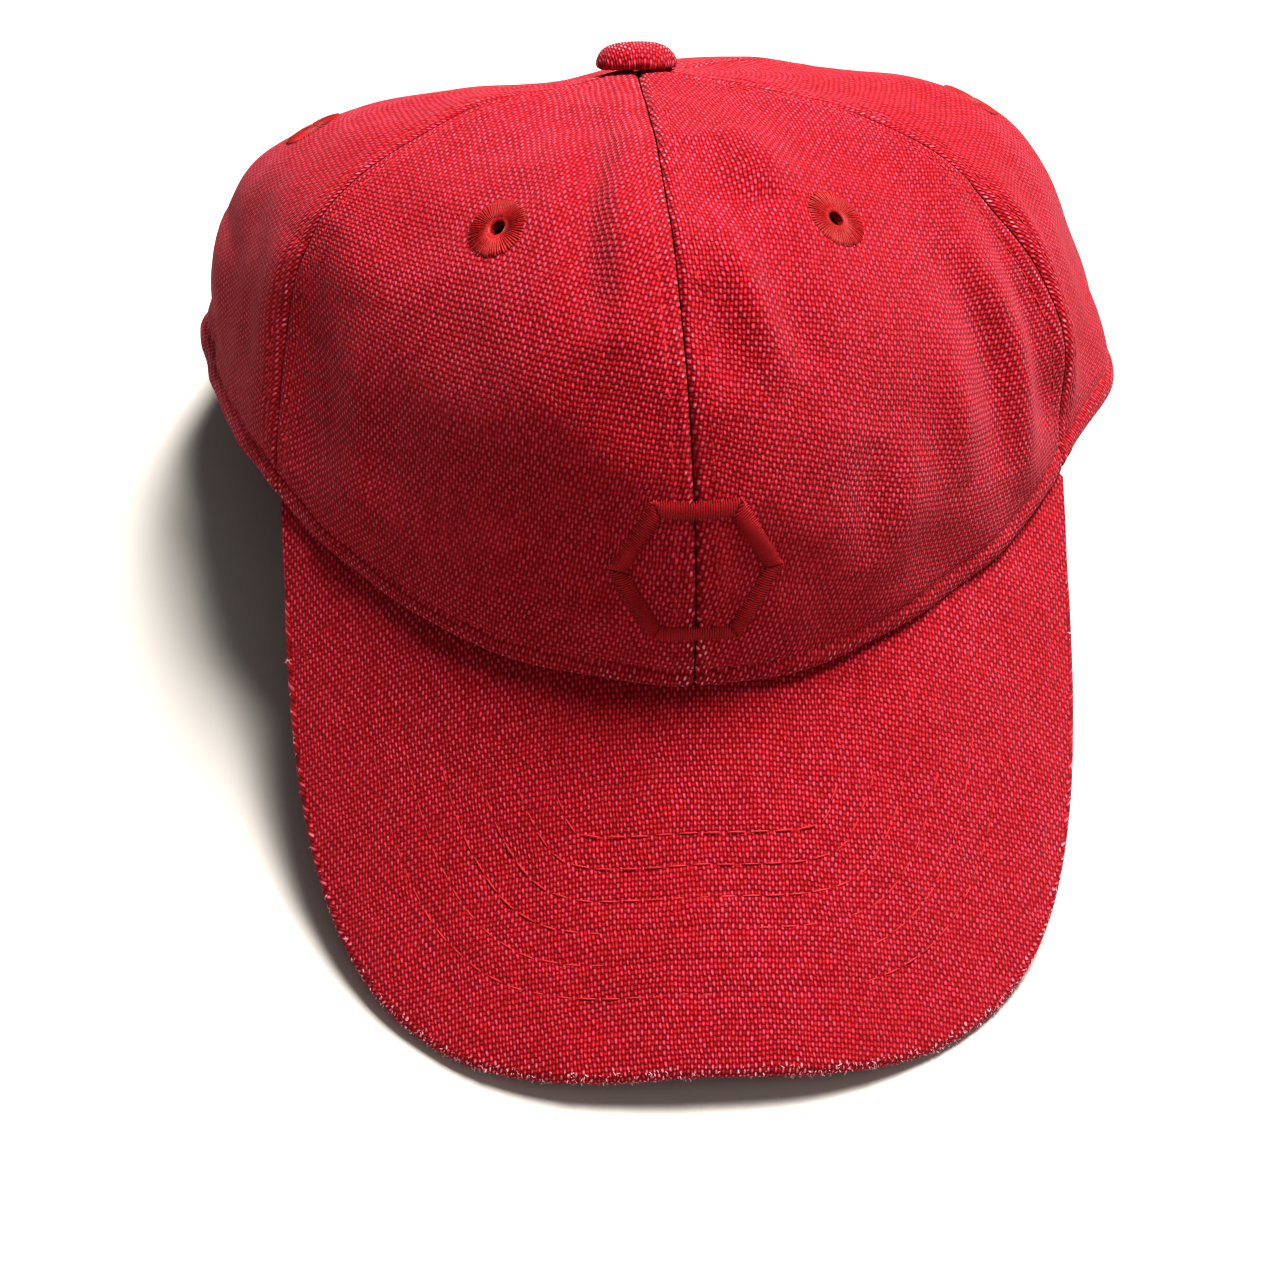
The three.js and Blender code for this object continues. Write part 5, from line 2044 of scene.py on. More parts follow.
@dataclass
class InsideTrim:
    """Seam tapes, sweatband and the binding of the rear opening, under the panels."""

    form: CapForm
    panels: CrownPanels
    wardrobe: Wardrobe
    tape_depth: float = 1.8
    tape_thickness: float = 0.55
    tape_width: float = 14
    tape_stop: float = 16
    tape_stitch: float = 5.2
    tape_length: float = 130
    band_depth: float = 3.0
    band_height: float = 32
    band_thickness: float = 0.95
    band_length: float = 540
    binding_width: float = 8
    binding_length: float = 118
    binding_arch: float = 30
    flap: float = 2.6
    shallowest: float = -2.0
    rear_height: float = 95
    rows: Stitcher = field(
        default_factory=lambda: Stitcher("trim_stitching", length=2.3, thick=0.36, seed=90)
    )

    def lined(self, angle: Array, up: Array, depth: Array | float) -> Array:
        """Points of an inner layer, which follows the cover's creases."""
        creases = np.maximum(self.form.creases(angle, up), self.shallowest)
        return self.form.layer(angle, up, depth - creases)

    def tape(self, name: str, seam: float, low: float = 0.0) -> None:
        """Makes one tape over a seam, from a share of the rise up.

        Args:
            name: Name of the tape.
            seam: Angle of its seam.
            low: Share of the rise where it starts.
        """
        form = self.form

        def spot(across: Array, up: Array) -> tuple[Array, Array, Array]:
            """Angle, share and offset of places on the tape.

            Args:
                across: Places across the piece, from 0 to 1.
                up: Places up the piece, from 0 to 1.

            Returns:
                The angles, the shares and the offsets.
            """
            share = low + up * (form.up_near_apex(np.full_like(up, seam), self.tape_stop) - low)
            middle = form.seam_angle(seam, share)
            offset = (across - 0.5) * self.tape_width
            return middle + offset / form.radian(middle, share), share, offset

        def place(across: Array, up: Array) -> Array:
            """Points of the tape, bulged by the seam allowances under it."""
            angle, share, offset = spot(across, up)
            return self.lined(angle, share, self.tape_depth + 0.4 * bell(offset, 3.5))

        def pattern(across: Array, up: Array) -> Array:
            """Cloth map of the tape."""
            return np.stack([(across - 0.5) * self.tape_width, up * self.tape_length], -1)

        piece = Sheet(f"{name}_cloth", 18, 90, place, self.tape_thickness, pattern).build()
        dress(piece, self.wardrobe.tape)
        settle(piece, Body.COVER, "seam_tape", name)
        share = np.linspace(max(low, 0.01), 0.84, 80)
        middle = form.seam_angle(seam, share)
        for side in Side:
            angle = middle + side.value * self.tape_stitch / form.radian(middle, share)
            line = self.lined(angle, share, self.tape_depth + self.tape_thickness - 0.05)
            self.rows.row(line, -form.normal(angle, share))

    def sweatband(self) -> None:
        """Makes the sweatband, with a bead along its upper edge."""
        form = self.form
        stop = float(form.rear_angle(self.panels.opening_half + self.binding_width + 0.6))

        def place(across: Array, up: Array) -> Array:
            """Points of the band.

            Args:
                across: Places across the piece, from 0 to 1.
                up: Places up the piece, from 0 to 1.

            Returns:
                Points in millimetres.
            """
            angle = stop * (2 * across - 1)
            share = form.up_at_height(angle, up * self.band_height)
            wave = 0.25 * SoftNoise(51, 24).at(form.crown(angle, share)) * up
            bead = 0.55 * bell((1 - up) * self.band_height - 1.6, 1.3)
            return self.lined(angle, share, self.band_depth + 0.3 * up - wave * 0.5 + bead)

        def pattern(across: Array, up: Array) -> Array:
            """Cloth map of the band."""
            return np.stack([across * self.band_length, up * self.band_height], -1)

        piece = Sheet("sweatband_cloth", 260, 22, place, self.band_thickness, pattern).build()
        dress(piece, self.wardrobe.band)
        settle(piece, Body.COVER, "sweatband", "sweatband")
        angle = np.linspace(-stop, stop, 300)
        for height in (2.5, self.band_height - 4):
            share = form.up_at_height(angle, height)
            inner = self.band_depth + self.band_thickness + 0.3 * height / self.band_height
            self.rows.row(self.lined(angle, share, inner), -form.normal(angle, share))

    def binding(self) -> None:
        """Makes the binding that wraps the edge of the rear opening."""
        form, panels = self.form, self.panels
        turn_radius = (self.tape_depth + self.tape_thickness) / 2
        turn_length = math.pi * turn_radius
        total = self.flap + turn_length + self.binding_width

        def section(up: Array) -> tuple[Array, Array]:
            """Distance outside the opening, and depth, along the binding's width.

            Args:
                up: Places up the piece, from 0 to 1.

            Returns:
                The distances and the depths.
            """
            run = up * total
            turned = np.clip((run - self.flap) / turn_length, 0, 1) * math.pi
            beyond = np.maximum(self.flap - run, 0) + np.maximum(run - self.flap - turn_length, 0)
            depth = self.tape_depth - turn_radius - turn_radius * np.cos(turned)
            return beyond - 0.8 * turn_radius * np.sin(turned), depth

        def place(across: Array, up: Array) -> Array:
            """Points of the binding.

            Args:
                across: Places across the piece, from 0 to 1.
                up: Places up the piece, from 0 to 1.

            Returns:
                Points in millimetres.
            """
            beyond, depth = section(up)
            leg = panels.opening_leg / (panels.opening_leg * 2 + math.pi * self.binding_arch)
            t = np.clip((across - leg) / (1 - 2 * leg), 0, 1) * math.pi
            x = -(panels.opening_half + beyond) * np.cos(t)
            z = panels.opening_leg + (panels.opening_height - panels.opening_leg + beyond) * np.sin(t)
            outside = np.maximum(leg - across, across - 1 + leg) / leg
            z = z - np.maximum(outside, 0) * (panels.opening_leg - 0.4)
            angle, share = form.find(x, z, form.rear_angle(x), z / self.rear_height)
            return self.lined(angle, share, depth)

        def pattern(across: Array, up: Array) -> Array:
            """Cloth map of the binding."""
            return np.stack([across * self.binding_length, up * total], -1)

        piece = Sheet("opening_binding", 170, 30, place, self.tape_thickness, pattern).build()
        dress(piece, self.wardrobe.tape)
        settle(piece, Body.COVER, "seam_tape", "rear_arch_binding")
        across = np.linspace(0.03, 0.97, 150)
        for run, out in ((1.3, 1), (self.flap + turn_length + 5.5, -1)):
            line = place(across, np.full_like(across, run / total))
            angle = np.full_like(across, math.pi)
            self.rows.row(line, out * form.normal(angle, np.full_like(across, 0.3)))

    def build(self) -> None:
        """Makes every piece of the trim and its stitches."""
        opening_top = self.panels.opening_height + self.binding_width + 1
        above = self.form.share_above(math.pi, opening_top)
        self.tape("seam_tape_front", 0.0)
        self.tape("seam_tape_rear", math.pi, above)
        for side in Side:
            self.tape(f"seam_tape_front_{side.label}", side.value * math.radians(60))
            self.tape(f"seam_tape_rear_{side.label}", side.value * math.radians(120))
        self.sweatband()
        self.binding()
        piece = self.rows.build()
        dress(piece, self.wardrobe.seam_thread, 180)
        settle(piece, Body.COVER, "thread")


@dataclass
class RearStrap:
    """Two straps that close the rear opening, and the keeper that holds the free end."""

    form: CapForm
    trim: InsideTrim
    wardrobe: Wardrobe
    start: float = 2.6
    height: float = 20
    thickness: float = 1.15
    depth: float = 3.0
    inner_depth: float = 4.5
    free_end: float = 31
    sewn_end: float = 41
    short_start: float = 13
    keeper_at: float = 22
    keeper_width: float = 6
    keeper_thickness: float = 0.95
    tip_radius: float = 6
    stitch_inset: float = 2.4
    keeper_round: float = 54
    rows: Stitcher = field(
        default_factory=lambda: Stitcher("strap_stitching", length=2.3, thick=0.38, seed=120)
    )

    def strip(
        self, name: str, node: str, x_low: float, x_high: float, depth: float, round_tip: bool
    ) -> None:
        """Makes one strap between two places across the back.

        Args:
            name: Name of the piece.
            node: The CAD node that it stands for.
            x_low: Where it starts.
            x_high: Where it ends.
            depth: Depth below the crown's outer face.
            round_tip: Whether its end is round.
        """
        form = self.form
        middle = self.start + self.height / 2

        def spot(across: Array, up: Array) -> tuple[Array, Array, Array, Array]:
            """Place across, offset from the middle, angle and share of strap points.

            Args:
                across: Places across the piece, from 0 to 1.
                up: Places up the piece, from 0 to 1.

            Returns:
                The places, the offsets, the angles and the shares.
            """
            x = x_high + (x_low - x_high) * across
            half = np.full_like(x, self.height / 2)
            if round_tip:
                near = np.clip((x - (x_high - self.tip_radius)) / self.tip_radius, 0, 1)
                half -= self.tip_radius * (1 - np.sqrt(np.maximum(1 - near**2, 0)))
            offset = (2 * up - 1) * half
            angle = form.rear_angle(x)
            return x, offset, angle, form.up_at_height(angle, middle + offset)

        def place(across: Array, up: Array) -> Array:
            """Points of the strap, thinner along its sewn edges.

            Args:
                across: Places across the piece, from 0 to 1.
                up: Places up the piece, from 0 to 1.

            Returns:
                Points in millimetres.
            """
            x, offset, angle, share = spot(across, up)
            edge = self.height / 2 - np.abs(offset)
            sink = 0.28 * bell(edge, 0.8) + 0.22 * bell(edge - self.stitch_inset, 0.7)
            wave = 0.15 * SoftNoise(61, 17).at(np.stack([x, offset, offset * 0], -1))
            return self.trim.lined(angle, share, depth + sink - wave)

        def pattern(across: Array, up: Array) -> Array:
            """Cloth map of the strap."""
            x, offset, _, _ = spot(across, up)
            return np.stack([x, offset], -1)

        def wear(across: Array, up: Array) -> Array:
            """Rubbed edges and tip.

            Args:
                across: Places across the piece, from 0 to 1.
                up: Places up the piece, from 0 to 1.

            Returns:
                The wear; 1 is rubbed pale.
            """
            x, offset, _, _ = spot(across, up)
            tip = bell(x_high - x, 1.2) if round_tip else 0
            return 0.9 * bell(self.height / 2 - np.abs(offset), 0.9) + tip + 0.12

        piece = Sheet(name, 110, 34, place, self.thickness, pattern, wear).build()
        dress(piece, self.wardrobe.canvas)
        settle(piece, Body.COVER, "canvas", node)
        for side in Side:
            x = np.linspace(x_low + 1.5, x_high - 2.5, 60)
            angle = form.rear_angle(x)
            height = middle + side.value * (self.height / 2 - self.stitch_inset)
            share = form.up_at_height(angle, height)
            self.rows.row(self.trim.lined(angle, share, depth + 0.12), form.normal(angle, share))

    def keeper(self) -> None:
        """Makes the keeper, a closed loop round both straps."""
        form = self.form
        middle = self.start + self.height / 2
        near, far = self.depth - 0.3, self.inner_depth + self.thickness + 0.3
        half_depth = (far - near) / 2 + self.keeper_thickness
        half_height = self.height / 2 + 0.3 + self.keeper_thickness

        def place(across: Array, up: Array) -> Array:
            """Points of the loop.

            Args:
                across: Places across the piece, from 0 to 1.
                up: Places up the piece, from 0 to 1.

            Returns:
                Points in millimetres.
            """
            turn = across * 2 * math.pi
            height = middle + half_height * signed_power(np.cos(turn), 0.3)
            depth = (near + far) / 2 - half_depth * signed_power(np.sin(turn), 0.3)
            x = self.keeper_at + self.keeper_width * (0.5 - up)
            angle = form.rear_angle(x)
            return self.trim.lined(angle, form.up_at_height(angle, height), depth)

        def pattern(across: Array, up: Array) -> Array:
            """Cloth map of the loop."""
            return np.stack([across * self.keeper_round, up * self.keeper_width], -1)

        def wear(across: Array, up: Array) -> Array:
            """Rubbed edges."""
            return 0.7 * bell(np.minimum(up, 1 - up) * self.keeper_width, 0.8) + 0.1

        piece = Sheet("keeper_loop", 96, 10, place, self.keeper_thickness, pattern, wear, ring=True).build()
        dress(piece, self.wardrobe.canvas)
        settle(piece, Body.COVER, "canvas", "strap_keeper")

    def build(self) -> None:
        """Makes the straps, the keeper and the stitches."""
        self.strip("long_strap", "strap_long", -self.sewn_end, self.free_end, self.depth, True)
        self.strip("short_strap", "strap_short", self.short_start, self.sewn_end, self.inner_depth, False)
        self.keeper()
        piece = self.rows.build()
        dress(piece, self.wardrobe.seam_thread, 180)
        settle(piece, Body.COVER, "thread")


def rounded_block(size: Triple, centre: Triple, bevel: float) -> bmesh.types.BMesh:
    """Block with rounded edges, in millimetres.

    Args:
        size: Lengths along the axes.
        centre: Its middle.
        bevel: Width of the rounding.

    Returns:
        The block.
    """
    shape = bmesh.new()
    bmesh.ops.create_cube(shape, size=1.0)
    bmesh.ops.scale(shape, vec=Vector(size), verts=shape.verts)
    bmesh.ops.bevel(
        shape, geom=list(shape.edges), offset=bevel, segments=4, profile=0.5, affect="EDGES", material=-1
    )
    bmesh.ops.translate(shape, vec=Vector(centre), verts=shape.verts)
    return shape


def upright_rod(radius: float, length: float, centre: Triple, bevel: float) -> bmesh.types.BMesh:
    """Rod along Y with rounded ends, in millimetres.

    Args:
        radius: Its radius.
        length: Its length.
        centre: Its middle.
        bevel: Width of the rounding.

    Returns:
        The rod.
    """
    shape = bmesh.new()
    bmesh.ops.create_cone(
        shape, cap_ends=True, segments=40, radius1=radius, radius2=radius, depth=length
    )
    rims = [edge for edge in shape.edges if abs(edge.verts[0].co.z - edge.verts[1].co.z) < 1e-6]
    bmesh.ops.bevel(shape, geom=rims, offset=bevel, segments=3, profile=0.5, affect="EDGES", material=-1)
    bmesh.ops.rotate(shape, cent=Vector(), matrix=Matrix.Rotation(math.pi / 2, 3, "X"), verts=shape.verts)
    bmesh.ops.translate(shape, vec=Vector(centre), verts=shape.verts)
    return shape


def fused(name: str, shapes: Iterable[bmesh.types.BMesh], seat: Array) -> bpy.types.Object:
    """One piece made of overlapping solids, set on its seat.

    Args:
        name: Name of the piece.
        shapes: The solids, in millimetres about the seat.
        seat: Turn and place of the piece.

    Returns:
        The piece.
    """
    objects = []
    for number, shape in enumerate(shapes):
        shape.transform(Matrix(seat.tolist()))
        objects.append(from_bmesh(name if number == 0 else f"{name}_{number}", shape))
    piece = objects[0]
    for other in objects[1:]:
        tool = piece.modifiers.new("fuse", "BOOLEAN")
        tool.operation, tool.solver, tool.object = "UNION", "EXACT", other
        apply_modifiers(piece)
        bpy.data.objects.remove(other)
    return piece


@dataclass
class Buckle:
    """Brass buckle of the strap: base with two ears, hinged lever, and its pin."""

    form: CapForm
    wardrobe: Wardrobe
    strap: RearStrap
    length: float = 22
    ear_length: float = 8
    plate: float = 1.0
    pin_radius: float = 0.9
    knuckle: float = 1.95
    lever_plate: float = 1.2
    plate_top: float = -6.1
    pin_z: float = -0.75

    def build(self) -> None:
        """Makes the three pieces."""
        middle = self.strap.start + self.strap.height / 2
        share = self.form.share_above(math.pi, middle)
        seat = self.form.frame_at(math.pi, share, 0)
        inside = self.strap.height + 0.6
        pin_x = -self.length / 2 + self.ear_length / 2
        ear_top = self.pin_z + self.knuckle
        ear_depth = ear_top - self.plate_top + self.plate
        outer = inside + 2 * self.plate
        plate_middle = self.plate_top - self.plate / 2
        base = [rounded_block((self.length, outer, self.plate), (0, 0, plate_middle), 0.25)]
        for side in Side:
            ear_y = side.value * (inside + self.plate) / 2
            centre = (pin_x, ear_y, ear_top - ear_depth / 2)
            base.append(rounded_block((self.ear_length, self.plate, ear_depth), centre, 0.25))
        lever_width = inside - 0.6
        flap = self.length - self.ear_length / 2
        flap_middle = (pin_x + flap / 2, 0, ear_top - self.lever_plate / 2)
        lever = [
            rounded_block((flap, lever_width, self.lever_plate), flap_middle, 0.45),
            upright_rod(self.knuckle, lever_width - 0.1, (pin_x, 0, self.pin_z), 0.3),
            rounded_block((1.6, lever_width - 1, 1.0), (pin_x + flap - 1.4, 0, ear_top + 0.15), 0.4),
        ]
        for x in (0.0, 2.6, 5.2):
            lever.append(rounded_block((0.9, lever_width * 0.6, 0.7), (x, 0, ear_top), 0.3))
        pin = [upright_rod(self.pin_radius, outer + 0.3, (pin_x, 0, self.pin_z), 0.35)]
        for name, node, shapes, body, slot in (
            ("buckle_frame", "buckle_base", base, Body.COVER, "brass"),
            ("buckle_flap", "buckle_lever", lever, Body.LEVER, "brass"),
            ("buckle_pin", "lever_pin", pin, Body.COVER, "steel"),
        ):
            piece = fused(name, shapes, seat)
            dress(piece, self.wardrobe.brass if slot == "brass" else self.wardrobe.steel, 40)
            settle(piece, body, slot, node)


# ------------------------------------------------------------------ protective insert


@dataclass
class ProtectiveInsert:
    """Ribbed and vented plastic shell, its foam pads, and the hook and loop that hold it."""

    form: CapForm
    trim: InsideTrim
    wardrobe: Wardrobe
    depth: float = 5.1
    thickness: float = 2.2
    rim: float = 37
    top_hole: float = 14
    vent_half: float = 4
    vent_length: float = 26
    vents: tuple[float, ...] = (16, 52, 90, 128, 164)
    vent_height: float = 0.62
    ribs: tuple[float, ...] = (0, 34, 71, 109, 146, 180)
    pad_depth: float = 8.8
    pad_thickness: float = 4.6
    pad_half: float = math.radians(24)
    pad_swell: float = 2.2
    pad_frames: int = 20
    pad_top: float = 0.665
    ring_low: float = 0.755
    meridian: float = 75
    vent_cut: float = 10
    patch: float = 20
    tufts: int = 16

    def shell(self) -> None:
        """Makes the shell and cuts its vents."""
        form = self.form

        def spot(across: Array, up: Array) -> tuple[Array, Array]:
            """Angle and share of places on the shell.

            Args:
                across: Places across the piece, from 0 to 1.
                up: Places up the piece, from 0 to 1.

            Returns:
                The angles and the shares.
            """
            angle = 2 * math.pi * across - math.pi
            low = form.up_at_height(angle, self.rim)
            high = form.up_near_apex(angle, self.top_hole)
            return angle, low + (high - low) * up

        def place(across: Array, up: Array) -> Array:
            """Points of the shell, with its ribs and its rolled rim.

            Args:
                across: Places across the piece, from 0 to 1.
                up: Places up the piece, from 0 to 1.

            Returns:
                Points in millimetres.
            """
            angle, share = spot(across, up)
            turn = np.degrees(np.abs(angle))
            scale = form.radian(angle, share)
            lift = np.zeros_like(angle)
            for rib in self.ribs:
                lift += 0.7 * bell(np.radians(turn - rib) * scale, 2.6)
            lift *= smooth_step(up, 0.04, 0.14) * smooth_step(1 - up, 0.03, 0.12)
            lift += 0.6 * bell(up * self.meridian - 1.5, 1.8)
            return form.layer(angle, share, self.depth - lift)

        piece = Sheet("bump_shell", 230, 70, place, self.thickness, ring=True).build()
        cut_away(piece, self.vent_slots())
        dress(piece, self.wardrobe.shell, 35)
        settle(piece, Body.INSERT, "shell", "insert_shell")

    def vent_slots(self) -> bpy.types.Object:
        """Slots with round ends, through the shell at every vent.

        Returns:
            The solid to cut with.
        """
        cutter = bmesh.new()
        straight = self.vent_length / 2 - self.vent_half
        for degrees in [side.value * vent for side in Side for vent in self.vents]:
            slot = bmesh.new()
            turns = np.linspace(0, math.pi, 13)
            ring = [(self.vent_half * math.cos(t), straight + self.vent_half * math.sin(t)) for t in turns]
            ring += [(-x, -y) for x, y in ring]
            corners = [slot.verts.new((x, y, -self.vent_cut / 2)) for x, y in ring]
            grown = bmesh.ops.extrude_face_region(slot, geom=[slot.faces.new(corners)])
            moved = [g for g in grown["geom"] if isinstance(g, bmesh.types.BMVert)]
            bmesh.ops.translate(slot, vec=Vector((0, 0, self.vent_cut)), verts=moved)
            bmesh.ops.recalc_face_normals(slot, faces=slot.faces)
            middle = self.depth + self.thickness / 2
            seat = self.form.frame_at(math.radians(degrees), self.vent_height, middle)
            slot.transform(Matrix(seat.tolist()))
            scratch = bpy.data.meshes.new("vent")
            slot.to_mesh(scratch)
            slot.free()
            cutter.from_mesh(scratch)
            bpy.data.meshes.remove(scratch)
        return from_bmesh("vent_slots", cutter)

    def pad(self, name: str, node: str, spot: Spot, ring: bool) -> None:
        """Makes one pad, swollen by a short cloth simulation and then sewn with channels.

        Args:
            name: Name of the piece.
            node: The CAD node that it stands for.
            spot: Gives the angle and share of a place on the pad.
            ring: Whether the pad closes on itself round the top.
        """
        form = self.form

        def place(across: Array, up: Array) -> Array:
            """Points of the pad's outer face."""
            angle, share = spot(across, up)
            return form.layer(angle, share, self.pad_depth)

        columns, rows = (72, 10) if ring else (24, 24)
        piece = Sheet(name, columns, rows, place, self.pad_thickness, ring=ring).build()
        remesh = piece.modifiers.new("even", "REMESH")
        remesh.mode = "VOXEL"
        remesh.voxel_size = 0.0026
        apply_modifiers(piece)
        self.swell(piece)
        finer = piece.modifiers.new("finer", "SUBSURF")
        finer.levels = finer.render_levels = 1
        apply_modifiers(piece)
        points = coordinates(piece.data) / MM
        line = np.linspace(0.04, 0.96, 12)
        middle_depth = self.pad_depth + self.pad_thickness / 2
        routes = []
        for share in ((0.5,) if ring else (0.34, 0.67)):
            steps = np.linspace(0, 1, 60) if ring else line
            routes.append(spot(steps, np.full_like(steps, share)))
            if not ring:
                routes.append(spot(np.full_like(line, share), line))
        for angle, share in routes:
            path = form.layer(angle, share, middle_depth)
            distance, _ = distance_to_path(points, path)
            gaps = np.linalg.norm(points[:, None, :] - path[None, :, :], axis=2)
            nearest = np.argmin(gaps, axis=1)
            normal = form.normal(angle, share)[nearest]
            height = np.sum((points - path[nearest]) * normal, axis=1)
            pinch = 0.6 * np.exp(-((distance - np.abs(height)).clip(0) / 1.2) ** 2)
            points -= normal * (height * pinch * bell(distance, 5.5))[:, None]
        set_coordinates(piece.data, points * MM)
        dress(piece, self.wardrobe.foam, 180)
        settle(piece, Body.INSERT, "foam", node)

    def swell(self, piece: bpy.types.Object) -> None:
        """Swells a pad with the Cloth modifier and keeps it near its first shape.

        Args:
            piece: The pad.
        """
        scene = bpy.context.scene
        before = coordinates(piece.data)
        scene.frame_set(1)
        cloth = piece.modifiers.new("swell", "CLOTH")
        cloth.settings.use_pressure = True
        cloth.settings.uniform_pressure_force = 4
        cloth.settings.effector_weights.gravity = 0
        cloth.settings.quality = 4
        cloth.point_cache.frame_end = self.pad_frames
        for number in range(1, self.pad_frames + 1):
            scene.frame_set(number)
        apply_modifiers(piece)
        scene.frame_set(1)
        after = coordinates(piece.data)
        move = after - before
        length = np.linalg.norm(move, axis=1, keepdims=True)
        limit = self.pad_swell * MM
        kept = np.minimum(1, limit / np.maximum(length, 1e-9))
        set_coordinates(piece.data, before + move * kept)

    def pads(self) -> None:
        """Makes the ring pad under the top and the four pads round the rim."""
        form = self.form

        def top(across: Array, up: Array) -> tuple[Array, Array]:
            """Places on the ring pad.

            Args:
                across: Places across the piece, from 0 to 1.
                up: Places up the piece, from 0 to 1.

            Returns:
                The angles and the shares.
            """
            angle = 2 * math.pi * across - math.pi
            end = form.up_near_apex(angle, self.top_hole + 1)
            return angle, self.ring_low + (end - self.ring_low) * up

        self.pad("top_pad", "pad_crown", top, True)
        quarter = math.pi / 2
        for name, middle in (("front", 0.0), ("rear", math.pi), ("right", quarter), ("left", -quarter)):

            def side(across: Array, up: Array, middle: float = middle) -> tuple[Array, Array]:
                """Places on one of the pads round the rim.

                Args:
                    across: Places across the piece, from 0 to 1.
                    up: Places up the piece, from 0 to 1.
                    middle: Angle of the pad's middle.

                Returns:
                    The angles and the shares.
                """
                angle = middle + (2 * across - 1) * self.pad_half * 0.96
                low = form.up_at_height(angle, self.rim + 5)
                return angle, low + (self.pad_top - low) * up

            self.pad(f"{name}_pad", f"pad_{name}", side, False)

    def fasteners(self) -> None:
        """Makes the hook patches on the shell and the loop patches on the panels."""
        form = self.form
        piles: dict[Body, list[Array]] = {Body.COVER: [], Body.INSERT: []}
        random = np.random.default_rng(140)
        for place_name, degrees, height in (("front", 33, 0.4), ("rear", 147, 0.44)):
            for side in Side:
                middle = side.value * math.radians(degrees)
                scale_a = float(form.radian(middle, height))
                scale_b = float(np.linalg.norm(form.rise(middle, height)))

                def spot(
                    across: Array, up: Array, middle: float = middle, height: float = height
                ) -> tuple[Array, Array]:
                    """Angle and share of places on a patch with rounded corners.

                    Args:
                        across: Places across the piece, from 0 to 1.
                        up: Places up the piece, from 0 to 1.
                        middle: Angle of the patch's middle.
                        height: Share of the rise at its middle.

                    Returns:
                        The angles and the shares.
                    """
                    u, v = 2 * across - 1, 2 * up - 1
                    x, y = u * np.sqrt(1 - 0.1 * v**2), v * np.sqrt(1 - 0.1 * u**2)
                    half = self.patch / 2
                    return middle + x * half / scale_a, height + y * half / scale_b

                for kind, depth, thickness, body in (
                    ("loop", 1.9, 1.0, Body.COVER),
                    ("hook", 3.7, 1.1, Body.INSERT),
                ):

                    def place(across: Array, up: Array, depth: float = depth) -> Array:
                        """Points of the patch."""
                        return form.layer(*spot(across, up), depth)

                    def pattern(across: Array, up: Array) -> Array:
                        """Cloth map of the patch."""
                        return np.stack([across, up], -1) * self.patch

                    name = f"{kind}_{place_name}_{side.label}"
                    piece = Sheet(f"{name}_base", 20, 20, place, thickness, pattern).build()
                    dress(piece, self.wardrobe.pile, 60)
                    settle(piece, body, "hook_and_loop", f"{kind}_patch_{place_name}_{side.label}")
                    grid = (np.arange(self.tufts) + 0.5) / self.tufts
                    across, up = (axis.ravel() for axis in np.meshgrid(grid, grid))
                    across = across + random.uniform(-0.02, 0.02, across.size)
                    out = -1 if kind == "loop" else 1
                    face = depth + thickness if kind == "loop" else depth
                    points = form.layer(*spot(across, up), face)
                    normals = form.normal(*spot(across, up)) * out
                    for point, normal in zip(points, normals):
                        ahead = unit(np.cross(normal, random.normal(size=3)))
                        side_way = np.cross(normal, ahead) * 0.2
                        piles[body].append(axes(ahead * 0.9, side_way, normal * 0.5, point))
        for body, name in ((Body.COVER, "loop_pile"), (Body.INSERT, "hook_pile")):
            piece = repeated(name, stitch_template(4, 4), piles[body])
            dress(piece, self.wardrobe.pile, 180)
            settle(piece, body, "hook_and_loop")

    def build(self) -> None:
        """Makes the shell, the pads and the fasteners."""
        self.shell()
        self.pads()
        self.fasteners()


# ------------------------------------------------------------------ studio


